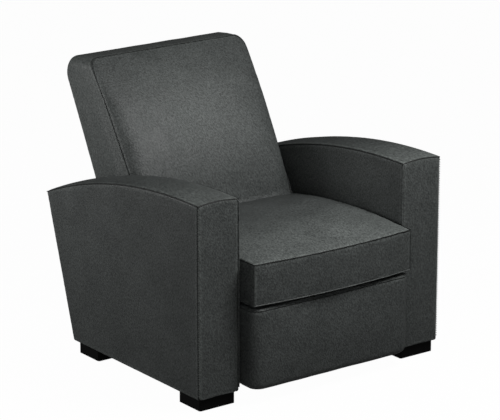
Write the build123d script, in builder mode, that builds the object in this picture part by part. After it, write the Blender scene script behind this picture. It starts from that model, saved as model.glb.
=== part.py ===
from build123d import *
from math import atan2, cos, degrees, radians, sin, sqrt, tan
import os

# Recliner chair, millimetres. X to the right as seen from the front, Y to the rear, Z up.
# The origin is on the floor, in the middle of the chair's width and depth.
# A depth is measured rearward from the front of the arms, a level upward from the floor.

# ---- arms ----
overall_width = 920
arm_width = 150
arm_front_height = 635      # top seam at the front corner
arm_underside = 38          # height of the arms above the floor
arm_foot_depth = 680        # front to rear along the underside
arm_rake = 16.9             # lean of the arms' rear edge, degrees
arch_radius = 1960          # long arch of the arm top
arch_lead = 80              # its highest point, behind the arms' front
top_pad_crown = 8           # rise of the arm top across its width
cover_thickness = 12        # leather, foam and board on the flat sides
facing_thickness = 25       # padded front of the arm
facing_radius = 9
top_pad_thickness = 28
frame_board = 20            # top and bottom boards of the arm frame
post_depth = 45

# ---- feet ----
foot_width = 128
foot_depth = 108
foot_inset = 11             # from the arm's outer face
front_foot_setback = 10
rear_foot_setback = 20
foot_chamfer = 4
foot_screw_spacing = 50
foot_counterbore = 12
foot_screw_grip = 16        # length of a foot screw in the bottom board

# ---- seat cushion ----
cushion_overhang = 55       # front seams ahead of the arms, at the cushion's corners
cushion_nose = 22           # bulge of the front face beyond them
cushion_side_gap = 11
cushion_bottom = 313
cushion_boxing = 129        # height of the front band between its seams
cushion_crown = 30
cushion_front_crown = 5
cushion_rear_crown = 16
cushion_side_draw = 3       # how far the seams are drawn in at the sides
cushion_rear_gap = 5        # between the cushion and the back

# ---- footrest panel ----
panel_side_gap = 10.5
panel_overhang = 40
panel_bottom = 49
panel_height = 247
panel_crown = 8
panel_pad_thickness = 48
panel_board_thickness = 15
panel_corner = 25

# ---- back ----
back_seam_depth = 556       # front seam of the back, at back_seam_level
back_seam_level = 480
back_lean = 31.07           # lean of the front face, degrees
back_face_length = 487      # from back_seam_level up to the top seam
back_bottom = 338
back_rear_lean = 24.5
back_top_depth = 137        # top seam to the rear corner
back_top_fall = 5           # slope of the top towards the rear, degrees
back_corner = 50            # rounding between top and rear
back_low_gap = 27           # between the back and an arm, at back_bottom and at the top seam
back_top_gap = 11
back_side_corner = 40       # rounding between top and sides
back_crown = 26
back_side_draw = 3
band_thickness = 14
outer_panel_thickness = 12
back_frame_thickness = 44   # posts and rails, front to rear
back_flap_drop = 113        # outer panel below the back's underside
back_post_width = 32
back_rail_height = 60
strap_width = 50
strap_thickness = 3
strap_count = 5

# ---- seat frame ----
seat_rail_top = 306
seat_side_rail_height = 34
seat_front_rail_height = 28
seat_rail_width = 24
seat_frame_setback = 28
seat_frame_depth = 412
spring_wire = 3.6
spring_count = 5
spring_bars = 13
spring_width = 60
clip_length = 16
clip_width = 14
clip_height = 4.8
deck_thickness = 1.6

# ---- footrest and seat mechanism ----
plate_thickness = 3
link_thickness = 4
link_width = 20
pin_radius = 4
swing_pin_radius = 5
pin_head = 2
layer_gap = 1               # washer gap between neighbouring plates
running_gap = 0.05          # radial, between a pin and its hole
open_gap = 0.3              # radial, at the pivots where the link loops close
touch_gap = 0.3             # between soft pieces and what carries them
cut_over = 1                # how far a trimming shape runs past what it trims
seat_frame_gap = 21         # between the seat's side rails and the arms
seat_plate_front = 84
seat_plate_rear = 572
seat_plate_bottom = 205
seat_plate_top = 300
base_plate_front = 60
base_plate_rear = 640
base_plate_height = 60
base_plate_flange = 25
base_rail_thickness = 20
base_rail_width = 90
front_base_rail_setback = 50
rear_base_rail_setback = 560
leg_turn_depth = -60        # the footrest panel turns about this depth and level
leg_turn_level = 400
lower_bracket_depth = 50    # pivots of the footrest brackets
lower_bracket_level = 228
upper_bracket_depth = 36
upper_bracket_level = 266
rear_link_depth = 150       # pivot of the rear footrest links on the seat plates
rear_link_level = 276
front_link_lead = 44        # front footrest links' pivot ahead of and above the rear links'
front_link_rise = 12
front_swing_depth = 330     # pivot of the front swing links on the base plates
swing_pivot_level = 88
swing_lean = 48             # a swing link's top behind its foot, and above it
swing_rise = 131
swing_spacing = 140
cross_tube_radius = 9
bracket_foot_height = 66
recline_depth = 548         # hinge of the back
recline_level = 268
back_bracket_width = 26
back_bracket_elbow = 322    # level where the back bracket meets the post's line
back_bracket_top = 470
screw_radius = 3
screw_head_radius = 6.5
screw_head = 3
screw_length = 18
rail_screw_spacing = 50
dowel_radius = 5
dowel_length = 60
bolt_radius = 4

# ---- places worked out from the sizes above ----
half_width = overall_width / 2
arm_inner = half_width - arm_width
tan_lean = tan(radians(back_lean))
tan_rear = tan(radians(back_rear_lean))
cos_rear = cos(radians(back_rear_lean))
top_seam_level = back_seam_level + back_face_length * cos(radians(back_lean))
top_seam_depth = back_seam_depth + back_face_length * sin(radians(back_lean))
rear_corner_depth = top_seam_depth + back_top_depth
rear_corner_level = top_seam_level - back_top_depth * tan(radians(back_top_fall))
corner_angle = radians(90 - back_rear_lean + back_top_fall)
corner_centre_back = sin(radians(back_rear_lean)) + cos(radians(back_top_fall))
back_reach = rear_corner_depth - back_corner * corner_centre_back / sin(corner_angle) + back_corner
arm_front = (cushion_overhang + cushion_nose - back_reach) / 2
arch_centre = arm_front_height - sqrt(arch_radius**2 - arch_lead**2)
arch_crest = arch_centre + arch_radius
arch_lead_angle = 2 * degrees(arch_lead / arch_radius)
arch_rear_angle = 1.2 * degrees(back_reach / arch_radius)
cushion_top = cushion_bottom + cushion_boxing
panel_top = panel_bottom + panel_height
frame_low = arm_underside + frame_board
seat_plate_outer = arm_inner - seat_frame_gap - seat_rail_width
seat_plate_face = seat_plate_outer - plate_thickness
swing_layer = seat_plate_outer + layer_gap
base_plate_face = swing_layer + link_thickness + 2 * layer_gap
arm_link_layer = seat_plate_face - layer_gap - link_thickness
cross_link_layer = arm_link_layer - layer_gap - link_thickness
bracket_layer = cross_link_layer - layer_gap - link_thickness
back_frame_front = outer_panel_thickness + back_frame_thickness
back_frame_zone = back_frame_front + strap_thickness + touch_gap
base_rail_top = arm_underside + base_rail_thickness


def shifted(point, offset):
    """A point moved by an offset; both are a depth and a level."""
    return (point[0] + offset[0], point[1] + offset[1])


def between(start, end):
    """The offset from one point to another."""
    return (end[0] - start[0], end[1] - start[1])


lower_bracket_pivot = (lower_bracket_depth, lower_bracket_level)
upper_bracket_pivot = (upper_bracket_depth, upper_bracket_level)
rear_link_pivot = (rear_link_depth, rear_link_level)
front_swing_pivot = (front_swing_depth, swing_pivot_level)
swing_reach = (swing_lean, swing_rise)
recline_pivot = (recline_depth, recline_level)
link_reach = between((leg_turn_depth, leg_turn_level), lower_bracket_pivot)
bracket_step = between(lower_bracket_pivot, upper_bracket_pivot)
rear_link_end = shifted(rear_link_pivot, link_reach)
rear_link_upper = shifted(rear_link_end, bracket_step)
front_link_pivot = shifted(rear_link_pivot, (-front_link_lead, front_link_rise))
front_link_end = shifted(front_link_pivot, link_reach)
front_swing_top = shifted(front_swing_pivot, swing_reach)
rear_swing_pivot = shifted(front_swing_pivot, (swing_spacing, 0))
rear_swing_top = shifted(rear_swing_pivot, swing_reach)


def at(depth, level):
    """Place in the side view: Y and Z for a depth and a level."""
    return (arm_front + depth, level)


def side_plane(side, near, thickness):
    """Plane square to X that a layer grows outward from in +X, on the left (-1) or right (1)."""
    return Plane.YZ.offset(near if side > 0 else -near - thickness)


def rake_depth(level):
    """Depth of the arms' rear edge at a level."""
    return arm_foot_depth + (level - arm_underside) * tan(radians(arm_rake))


def front_line(level):
    """Depth of the back's front seams at a level."""
    return back_seam_depth + (level - back_seam_level) * tan_lean


def rear_line(level, inset=0):
    """Depth of the back's rear face at a level, or of a plane drawn in from it."""
    return rear_corner_depth + (level - rear_corner_level) * tan_rear - inset / cos_rear


def arm_outline(plane, front, top, rear, low):
    """Side view of the arm between two depths and two levels that follow its arch and rake."""
    slope = cos(radians(arm_rake))
    with BuildSketch(plane) as outline:
        with BuildLine():
            Polyline(
                at(front, low),
                at(front, arch_crest),
                at(rake_depth(arch_crest) - rear / slope, arch_crest),
                at(rake_depth(low) - rear / slope, low),
                close=True,
            )
        make_face()
        with Locations(at(arch_lead, arch_centre)):
            Circle(arch_radius - top, mode=Mode.INTERSECT)
    return outline.sketch


def block(plane, corners):
    """Sketch of straight lines through the given depths and levels."""
    with BuildSketch(plane) as outline:
        with BuildLine():
            Polyline(*[at(*corner) for corner in corners], close=True)
        make_face()
    return outline.sketch


def link_outline(plane, bars, holes, width=link_width):
    """Flat link: round-ended bars between pairs of points, with a hole at each point of holes."""
    with BuildSketch(plane) as outline:
        for start, end in bars:
            run = between(start, end)
            with Locations(at((start[0] + end[0]) / 2, (start[1] + end[1]) / 2)):
                SlotCenterToCenter(sqrt(run[0] ** 2 + run[1] ** 2), width, degrees(atan2(run[1], run[0])))
        for point, radius in holes:
            with Locations(at(*point)):
                Circle(radius, mode=Mode.SUBTRACT)
    return outline.sketch


def disc(plane, points, radius):
    """Sketch of equal discs at the given depths and levels."""
    with BuildSketch(plane) as outline:
        with Locations(*[at(*point) for point in points]):
            Circle(radius)
    return outline.sketch


def side_pins(side, near, far, points, radius, outer_head):
    """Pins along X from near to far on one side of the chair, with heads at one or both ends."""
    stages = [(near, far - near, radius), (near - pin_head, pin_head, radius + pin_head)]
    if outer_head:
        stages.append((far, pin_head, radius + pin_head))
    return [(disc(side_plane(side, start, length), points, size), length) for start, length, size in stages]


def screw_places(depth):
    """Depths of a pair of screws about the middle of a base rail."""
    middle = depth + base_rail_width / 2
    return (middle - rail_screw_spacing / 2, middle + rail_screw_spacing / 2)


def save(piece, name):
    """Label a finished piece and write it."""
    piece.part.label = name
    export_step(piece.part, f"parts/{name}.step")


os.makedirs("parts", exist_ok=True)
sides = ((-1, "left"), (1, "right"))
base_rail_setbacks = (front_base_rail_setback, rear_base_rail_setback)

# ---- feet and their screws ----
foot_depths = {
    "front": front_foot_setback + foot_depth / 2,
    "rear": arm_foot_depth - rear_foot_setback - foot_depth / 2,
}
foot_middle = half_width - foot_inset - foot_width / 2
screw_steps = (-foot_screw_spacing / 2, foot_screw_spacing / 2)
for end_name, depth in foot_depths.items():
    screw_spots = [(side * foot_middle + step, arm_front + depth) for side, _ in sides
                   for step in screw_steps]
    with BuildPart() as feet:
        with BuildSketch():
            with Locations(*[(side * foot_middle, arm_front + depth) for side, _ in sides]):
                Rectangle(foot_width, foot_depth)
        extrude(amount=arm_underside)
        chamfer(feet.edges().filter_by(Axis.Z), foot_chamfer)
        with BuildSketch():
            with Locations(*screw_spots):
                Circle(screw_radius + running_gap)
        extrude(amount=arm_underside, mode=Mode.SUBTRACT)
        with BuildSketch():
            with Locations(*screw_spots):
                Circle(screw_head_radius + running_gap)
        extrude(amount=foot_counterbore, mode=Mode.SUBTRACT)
    save(feet, f"{end_name}_feet")

foot_screw_spots = [
    (side * foot_middle + step, arm_front + depth)
    for side, _ in sides for depth in foot_depths.values() for step in screw_steps
]
with BuildPart() as foot_screws:
    with BuildSketch(Plane.XY.offset(foot_counterbore - screw_head)):
        with Locations(*foot_screw_spots):
            Circle(screw_head_radius)
    extrude(amount=screw_head)
    with BuildSketch(Plane.XY.offset(foot_counterbore)):
        with Locations(*foot_screw_spots):
            Circle(screw_radius)
    extrude(amount=arm_underside - foot_counterbore + foot_screw_grip)
save(foot_screws, "foot_screws")

# ---- arms: a box frame of boards inside padded leather covers ----
frame_inner = arm_inner + cover_thickness
frame_width = arm_width - 2 * cover_thickness
dowel_spots = [
    (depth, arm_underside + base_rail_thickness / 2)
    for setback in base_rail_setbacks for depth in screw_places(setback)
]
for side, name in sides:
    frame_plane = side_plane(side, frame_inner, frame_width)

    with BuildPart() as bottom_board:
        board_end = rake_depth(arm_underside) - cover_thickness / cos(radians(arm_rake))
        extrude(block(frame_plane, (
            (facing_thickness, arm_underside), (facing_thickness, frame_low),
            (board_end, frame_low), (board_end, arm_underside),
        )), amount=frame_width)
        with BuildSketch(Plane.XY.offset(arm_underside)):
            with Locations(*[(x, y) for x, y in foot_screw_spots if x * side > 0]):
                Circle(screw_radius + running_gap)
        extrude(amount=foot_screw_grip, mode=Mode.SUBTRACT)
        extrude(disc(side_plane(side, frame_inner, dowel_length / 2), dowel_spots,
                     dowel_radius + running_gap), amount=dowel_length / 2, mode=Mode.SUBTRACT)
    save(bottom_board, f"{name}_arm_bottom_board")

    with BuildPart() as arm_posts:
        extrude(arm_outline(frame_plane, facing_thickness, top_pad_thickness + frame_board,
                            cover_thickness, frame_low), amount=frame_width)
        space_front = facing_thickness + post_depth
        extrude(arm_outline(frame_plane, space_front, 0, cover_thickness + post_depth, frame_low),
                amount=frame_width, mode=Mode.SUBTRACT)
    save(arm_posts, f"{name}_arm_posts")

    with BuildPart() as top_rail:
        extrude(arm_outline(frame_plane, facing_thickness, top_pad_thickness, cover_thickness, frame_low),
                amount=frame_width)
        extrude(arm_outline(frame_plane, 0, top_pad_thickness + frame_board, 0, frame_low),
                amount=frame_width, mode=Mode.SUBTRACT)
    save(top_rail, f"{name}_arm_top_rail")

    for cover_name, near in (("inner", arm_inner), ("outer", half_width - cover_thickness)):
        with BuildPart() as cover:
            extrude(arm_outline(side_plane(side, near, cover_thickness), facing_thickness, 0, 0,
                                arm_underside), amount=cover_thickness)
            if cover_name == "inner":
                extrude(disc(side_plane(side, near, cover_thickness), dowel_spots,
                             dowel_radius + running_gap), amount=cover_thickness, mode=Mode.SUBTRACT)
        save(cover, f"{name}_arm_{cover_name}_panel")

    with BuildPart() as facing:
        extrude(arm_outline(side_plane(side, arm_inner, arm_width), 0, 0, 0, arm_underside),
                amount=arm_width)
        extrude(block(side_plane(side, arm_inner, arm_width), (
            (facing_thickness, 0), (facing_thickness, arch_crest),
            (rake_depth(arch_crest), arch_crest), (rake_depth(arch_crest), 0),
        )), amount=arm_width, mode=Mode.SUBTRACT)
        fillet(facing.edges().filter_by(Axis.Z).group_by(Axis.Y)[0], facing_radius)
    save(facing, f"{name}_arm_front_facing")

    arm_middle = side * (arm_inner + arm_width / 2)
    low, high = arch_crest - top_pad_thickness, arch_crest
    near, far = arm_middle - frame_width / 2, arm_middle + frame_width / 2
    with BuildSketch(Plane.XZ.offset(-(arm_front + arch_lead))) as pad_end:
        with BuildLine():
            ThreePointArc((near, high), (arm_middle, high + top_pad_crown), (far, high))
            Polyline((far, high), (far, low), (near, low), (near, high))
        make_face()
    with BuildPart() as top_pad:
        for turn, sweep_angle in ((1, arch_lead_angle), (-1, arch_rear_angle)):
            revolve(pad_end.sketch, axis=Axis((0, arm_front + arch_lead, arch_centre), (turn, 0, 0)),
                    revolution_arc=sweep_angle)
        raised = arch_crest + top_pad_crown
        extrude(block(frame_plane, (
            (facing_thickness, frame_low), (facing_thickness, raised),
            (rake_depth(raised), raised), (rake_depth(frame_low), frame_low),
        )), amount=frame_width, mode=Mode.INTERSECT)
    save(top_pad, f"{name}_arm_top_pad")

    with BuildPart() as rear_cover:
        extrude(arm_outline(frame_plane, 0, top_pad_thickness, 0, arm_underside), amount=frame_width)
        extrude(arm_outline(frame_plane, 0, 0, cover_thickness, 0), amount=frame_width,
                mode=Mode.SUBTRACT)
    save(rear_cover, f"{name}_arm_rear_panel")

# ---- base rails between the arms, and the plates that carry the mechanism ----
for setback, name in zip(base_rail_setbacks, ("front", "rear")):
    rail_dowels = [(depth, arm_underside + base_rail_thickness / 2) for depth in screw_places(setback)]
    with BuildPart() as base_rail:
        extrude(block(Plane.YZ.offset(-arm_inner), (
            (setback, arm_underside), (setback, base_rail_top),
            (setback + base_rail_width, base_rail_top), (setback + base_rail_width, arm_underside),
        )), amount=2 * arm_inner)
        for side, _ in sides:
            extrude(disc(side_plane(side, frame_inner - dowel_length / 2, dowel_length / 2), rail_dowels,
                         dowel_radius + running_gap), amount=dowel_length / 2, mode=Mode.SUBTRACT)
    save(base_rail, f"{name}_base_rail")

with BuildPart() as rail_dowel_set:
    for side, _ in sides:
        extrude(disc(side_plane(side, frame_inner - dowel_length / 2 + running_gap,
                                dowel_length - 2 * running_gap), dowel_spots, dowel_radius),
                amount=dowel_length - 2 * running_gap)
save(rail_dowel_set, "rail_dowels")

flange_screw_line = base_plate_face + plate_thickness + base_plate_flange / 2
flange_screws = [
    (side * flange_screw_line, arm_front + depth)
    for side, _ in sides for setback in base_rail_setbacks for depth in screw_places(setback)
    if depth < base_plate_rear
]
swing_feet = (front_swing_pivot, rear_swing_pivot)
swing_tops = (front_swing_top, rear_swing_top)
with BuildPart() as base_plates:
    for side, _ in sides:
        web_plane = side_plane(side, base_plate_face, plate_thickness)
        extrude(block(web_plane, (
            (base_plate_front, base_rail_top), (base_plate_front, base_rail_top + base_plate_height),
            (base_plate_rear, base_rail_top + base_plate_height), (base_plate_rear, base_rail_top),
        )), amount=plate_thickness)
        extrude(block(side_plane(side, base_plate_face, plate_thickness + base_plate_flange), (
            (base_plate_front, base_rail_top), (base_plate_front, base_rail_top + plate_thickness),
            (base_plate_rear, base_rail_top + plate_thickness), (base_plate_rear, base_rail_top),
        )), amount=plate_thickness + base_plate_flange)
        extrude(disc(web_plane, swing_feet, swing_pin_radius + running_gap), amount=plate_thickness,
                mode=Mode.SUBTRACT)
    with BuildSketch(Plane.XY.offset(base_rail_top)):
        with Locations(*flange_screws):
            Circle(screw_radius + running_gap)
    extrude(amount=plate_thickness, mode=Mode.SUBTRACT)
save(base_plates, "base_plates")

with BuildPart() as base_plate_screws:
    flange_top = base_rail_top + plate_thickness
    with BuildSketch(Plane.XY.offset(flange_top)):
        with Locations(*flange_screws):
            Circle(screw_head_radius)
    extrude(amount=screw_head)
    with BuildSketch(Plane.XY.offset(base_rail_top)):
        with Locations(*flange_screws):
            Circle(screw_radius)
    extrude(amount=plate_thickness)
save(base_plate_screws, "base_plate_screws")


def pin_set(layers):
    """Pins on both sides of the chair; each set gives near, far, points, radius and outer head."""
    with BuildPart() as pins:
        for side, _ in sides:
            for layer in layers:
                for outline, length in side_pins(side, *layer):
                    extrude(outline, amount=length)
    return pins


swing_pin_near = swing_layer - running_gap
swing_pin_far = base_plate_face + plate_thickness + running_gap
save(pin_set([(swing_pin_near, swing_pin_far, swing_feet, swing_pin_radius, True)]), "base_pivot_pins")

# ---- swing links: they carry the seat forward in an arc ----
for pivots, name, top_gap in (
    ((front_swing_pivot, front_swing_top), "front", running_gap),
    ((rear_swing_pivot, rear_swing_top), "rear", open_gap),
):
    with BuildPart() as swing_links:
        for side, _ in sides:
            extrude(link_outline(side_plane(side, swing_layer, link_thickness), [pivots], (
                (pivots[0], swing_pin_radius + running_gap), (pivots[1], swing_pin_radius + top_gap),
            )), amount=link_thickness)
    save(swing_links, f"{name}_swing_links")

with BuildPart() as cross_tube:
    tube_middle = shifted(front_swing_pivot, (swing_reach[0] / 2, swing_reach[1] / 2))
    extrude(disc(Plane.YZ.offset(-swing_layer), [tube_middle], cross_tube_radius), amount=2 * swing_layer)
save(cross_tube, "cross_tube")

# ---- seat frame ----
frame_end = seat_frame_setback + seat_frame_depth
side_rail_low = seat_rail_top - seat_side_rail_height
front_rail_low = seat_rail_top - seat_front_rail_height
plate_screw_spots = [(frame_end - seat_frame_depth * share, (side_rail_low + seat_plate_top) / 2)
                     for share in (0.1, 0.3, 0.5)]
with BuildPart() as side_rails:
    for side, _ in sides:
        extrude(block(side_plane(side, seat_plate_outer, seat_rail_width), (
            (seat_frame_setback, side_rail_low), (seat_frame_setback, seat_rail_top),
            (frame_end, seat_rail_top), (frame_end, side_rail_low),
        )), amount=seat_rail_width)
        extrude(disc(side_plane(side, seat_plate_outer, screw_length), plate_screw_spots,
                     screw_radius + running_gap), amount=screw_length, mode=Mode.SUBTRACT)
save(side_rails, "seat_side_rails")

plate_holes = (
    (swing_tops, swing_pin_radius), ([recline_pivot], swing_pin_radius),
    ((rear_link_pivot, front_link_pivot), pin_radius), (plate_screw_spots, screw_radius),
)
with BuildPart() as seat_plates:
    for side, _ in sides:
        plate_plane = side_plane(side, seat_plate_face, plate_thickness)
        extrude(block(plate_plane, (
            (seat_plate_front, seat_plate_top - link_width * 2), (seat_plate_front, seat_plate_top),
            (seat_plate_rear, seat_plate_top), (seat_plate_rear, recline_pivot[1] - link_width),
            (rear_swing_top[0] + link_width, seat_plate_bottom),
            (front_swing_top[0] - link_width, seat_plate_bottom),
        )), amount=plate_thickness)
        for points, radius in plate_holes:
            extrude(disc(plate_plane, points, radius + running_gap), amount=plate_thickness,
                    mode=Mode.SUBTRACT)
save(seat_plates, "seat_plates")

for name, start, low, reach in (
    ("front", seat_frame_setback, front_rail_low, seat_plate_outer),
    ("rear", frame_end - seat_rail_width, side_rail_low, seat_plate_face),
):
    with BuildPart() as cross_rail:
        extrude(block(Plane.YZ.offset(-reach), (
            (start, low), (start, seat_rail_top),
            (start + seat_rail_width, seat_rail_top), (start + seat_rail_width, low),
        )), amount=2 * reach)
    save(cross_rail, f"seat_{name}_rail")

with BuildPart() as seat_plate_screws:
    for side, _ in sides:
        extrude(disc(side_plane(side, seat_plate_face, screw_length), plate_screw_spots, screw_radius),
                amount=screw_length)
        extrude(disc(side_plane(side, seat_plate_face - screw_head, screw_head), plate_screw_spots,
                     screw_head_radius), amount=screw_head)
save(seat_plate_screws, "seat_plate_screws")

save(pin_set([
    (seat_plate_face - running_gap, swing_layer + link_thickness + running_gap, swing_tops,
     swing_pin_radius, True),
    (arm_link_layer - running_gap, seat_plate_outer, (rear_link_pivot, front_link_pivot), pin_radius,
     False),
    (arm_link_layer - running_gap, seat_plate_outer + running_gap, [recline_pivot], swing_pin_radius,
     True),
]), "seat_pivot_pins")

spring_level = seat_rail_top + spring_wire / 2
spring_pitch = (seat_frame_depth - seat_rail_width) / (spring_bars - 1)
spring_start = seat_frame_setback + seat_rail_width / 2
spring_spacing = 2 * seat_plate_face / (spring_count + 1)
spring_middles = [(index - (spring_count - 1) / 2) * spring_spacing for index in range(spring_count)]
half_bar = (spring_width - spring_pitch) / 2
with BuildPart() as seat_springs:
    for middle in spring_middles:
        with BuildLine(Plane.XY.offset(spring_level)) as zigzag:
            for bar in range(spring_bars):
                heading = 1 if bar % 2 == 0 else -1
                y = arm_front + spring_start + bar * spring_pitch
                Line((middle - heading * half_bar, y), (middle + heading * half_bar, y))
                if bar < spring_bars - 1:
                    ThreePointArc(
                        (middle + heading * half_bar, y),
                        (middle + heading * (half_bar + spring_pitch / 2), y + spring_pitch / 2),
                        (middle + heading * half_bar, y + spring_pitch),
                    )
        with BuildSketch(Plane(origin=zigzag.line @ 0, z_dir=zigzag.line % 0)):
            Circle(spring_wire / 2)
        sweep(path=zigzag.line)
save(seat_springs, "seat_springs")

clip_depths = (spring_start, spring_start + (spring_bars - 1) * spring_pitch)
with BuildPart() as spring_clips:
    with BuildSketch(Plane.XY.offset(seat_rail_top)):
        with Locations(*[(middle, arm_front + depth) for middle in spring_middles for depth in clip_depths]):
            Rectangle(clip_length, clip_width)
    extrude(amount=clip_height)
    bore_middle = spring_level
    for depth in clip_depths:
        extrude(disc(Plane.YZ.offset(-seat_plate_face), [(depth, bore_middle)],
                     spring_wire / 2 + running_gap), amount=2 * seat_plate_face, mode=Mode.SUBTRACT)
save(spring_clips, "seat_spring_clips")

with BuildPart() as deck_cloth:
    with BuildSketch(Plane.XY.offset(cushion_bottom - touch_gap - deck_thickness)):
        with Locations((0, arm_front + seat_frame_setback + seat_frame_depth / 2)):
            Rectangle(2 * (seat_plate_outer + seat_rail_width), seat_frame_depth)
    extrude(amount=deck_thickness)
save(deck_cloth, "seat_deck_cloth")

# ---- seat cushion: boxed, crowned, with a full front ----
cushion_half = arm_inner - cushion_side_gap


def boxed_section(depth, crown):
    """Cross-section of the seat cushion at a depth: arched top, sides full between drawn-in seams."""
    seam = cushion_half - cushion_side_draw
    middle = cushion_bottom + cushion_boxing / 2
    with BuildSketch(Plane.XZ.offset(-(arm_front + depth))) as section:
        with BuildLine():
            Line((-seam, cushion_bottom), (seam, cushion_bottom))
            ThreePointArc((seam, cushion_bottom), (cushion_half, middle), (seam, cushion_top))
            ThreePointArc((seam, cushion_top), (0, cushion_top + crown), (-seam, cushion_top))
            ThreePointArc((-seam, cushion_top), (-cushion_half, middle), (-seam, cushion_bottom))
        make_face()
    return section.sketch


cushion_front = -cushion_overhang - cushion_nose
cushion_back = front_line(cushion_top + cushion_crown)
with BuildPart() as seat_cushion:
    loft([
        boxed_section(cushion_front - cut_over, cushion_front_crown),
        boxed_section(cushion_front + cushion_back / 3, cushion_crown),
        boxed_section(cushion_front + cushion_back * 2 / 3, cushion_crown),
        boxed_section(cushion_back, cushion_rear_crown),
    ])
    with BuildSketch(Plane.XY.offset(cushion_bottom - cut_over)):
        with BuildLine():
            ThreePointArc(
                (-cushion_half, arm_front - cushion_overhang),
                (0, arm_front + cushion_front),
                (cushion_half, arm_front - cushion_overhang),
            )
            Polyline(
                (cushion_half, arm_front - cushion_overhang),
                (half_width, arm_front - cushion_overhang),
                (half_width, arm_front + cushion_back + cut_over),
                (-half_width, arm_front + cushion_back + cut_over),
                (-half_width, arm_front - cushion_overhang),
                (-cushion_half, arm_front - cushion_overhang),
            )
        make_face()
    extrude(amount=cushion_boxing + cushion_crown + 2 * cut_over, mode=Mode.INTERSECT)
    gap_depth = cushion_rear_gap / cos(radians(back_lean))
    crest, floor = cushion_top + cushion_crown + cut_over, cushion_bottom - cut_over
    extrude(block(Plane.YZ.offset(-half_width), (
        (cushion_front - cut_over, floor), (cushion_front - cut_over, crest),
        (front_line(crest) - gap_depth, crest), (front_line(floor) - gap_depth, floor),
    )), amount=overall_width, mode=Mode.INTERSECT)
save(seat_cushion, "seat_cushion")

# ---- footrest links: two parallelograms turn the panel about a point in front of the seat ----
link_pairs = {
    "footrest_rear_links": (arm_link_layer, [(rear_link_pivot, rear_link_end),
                                             (rear_link_pivot, rear_link_upper)], (
        (rear_link_pivot, pin_radius + running_gap), (rear_link_end, pin_radius + running_gap),
        (rear_link_upper, pin_radius + running_gap),
    )),
    "footrest_front_links": (arm_link_layer, [(front_link_pivot, front_link_end)], (
        (front_link_pivot, pin_radius + running_gap), (front_link_end, pin_radius + open_gap),
    )),
    "footrest_lower_links": (cross_link_layer, [(rear_link_end, lower_bracket_pivot),
                                                (rear_link_end, front_link_end)], (
        (rear_link_end, pin_radius + running_gap), (front_link_end, pin_radius + running_gap),
        (lower_bracket_pivot, pin_radius + running_gap),
    )),
    "footrest_upper_links": (cross_link_layer, [(rear_link_upper, upper_bracket_pivot)], (
        (rear_link_upper, pin_radius + running_gap), (upper_bracket_pivot, pin_radius + open_gap),
    )),
}
for name, (layer, bars, holes) in link_pairs.items():
    with BuildPart() as links:
        for side, _ in sides:
            extrude(link_outline(side_plane(side, layer, link_thickness), bars, holes),
                    amount=link_thickness)
    save(links, name)

cross_pin_near = cross_link_layer - running_gap
cross_pin_far = arm_link_layer + link_thickness + running_gap
save(pin_set([(cross_pin_near, cross_pin_far, (rear_link_end, rear_link_upper), pin_radius, True)]),
     "rear_link_pins")
save(pin_set([(cross_pin_near, cross_pin_far, [front_link_end], pin_radius, True)]), "front_link_pins")
save(pin_set([(bracket_layer - running_gap, cross_link_layer + link_thickness + running_gap,
               (lower_bracket_pivot, upper_bracket_pivot), pin_radius, True)]), "footrest_bracket_pins")

# ---- footrest panel ----
panel_half = arm_inner - panel_side_gap
board_front = panel_pad_thickness - panel_overhang
board_rear = board_front + panel_board_thickness
panel_middle = (panel_bottom + panel_top) / 2


def panel_outline(depth):
    """Front view of the footrest panel, placed at a depth."""
    with BuildSketch(Plane.XZ.offset(-(arm_front + depth))) as outline:
        with Locations((0, panel_middle)):
            RectangleRounded(2 * panel_half, panel_height, panel_corner)
    return outline.sketch


with BuildPart() as footrest_pad:
    extrude(panel_outline(board_front), amount=panel_pad_thickness + 2 * panel_crown)
    with BuildSketch(Plane.YZ.offset(-half_width)):
        low, high = panel_bottom - panel_crown, panel_top + panel_crown
        with BuildLine():
            ThreePointArc(at(-panel_overhang, low), at(-panel_overhang - panel_crown, panel_middle),
                          at(-panel_overhang, high))
            Polyline(at(-panel_overhang, high), at(board_rear, high), at(board_rear, low),
                     at(-panel_overhang, low))
        make_face()
    extrude(amount=overall_width, mode=Mode.INTERSECT)
    with BuildSketch(Plane.XY.offset(low)):
        with BuildLine():
            ThreePointArc((-half_width, arm_front - panel_overhang),
                          (0, arm_front - panel_overhang - panel_crown),
                          (half_width, arm_front - panel_overhang))
            Polyline((half_width, arm_front - panel_overhang), (half_width, arm_front + board_rear),
                     (-half_width, arm_front + board_rear), (-half_width, arm_front - panel_overhang))
        make_face()
    extrude(amount=high - low, mode=Mode.INTERSECT)
save(footrest_pad, "footrest_pad")

bracket_low = lower_bracket_pivot[1] - link_width
bracket_high = bracket_low + bracket_foot_height
bracket_screw_line = bracket_layer - link_width
bracket_screw_levels = (bracket_low + screw_head_radius + pin_head,
                        bracket_high - screw_head_radius - pin_head)
bracket_screw_spots = [(side * bracket_screw_line, level) for side, _ in sides
                       for level in bracket_screw_levels]

screw_tip = board_rear - panel_board_thickness + screw_head
with BuildPart() as footrest_board:
    extrude(panel_outline(board_rear), amount=panel_board_thickness)
    with BuildSketch(Plane.XZ.offset(-(arm_front + board_rear))):
        with Locations(*bracket_screw_spots):
            Circle(screw_radius + running_gap)
    extrude(amount=board_rear - screw_tip, mode=Mode.SUBTRACT)
save(footrest_board, "footrest_board")

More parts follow.
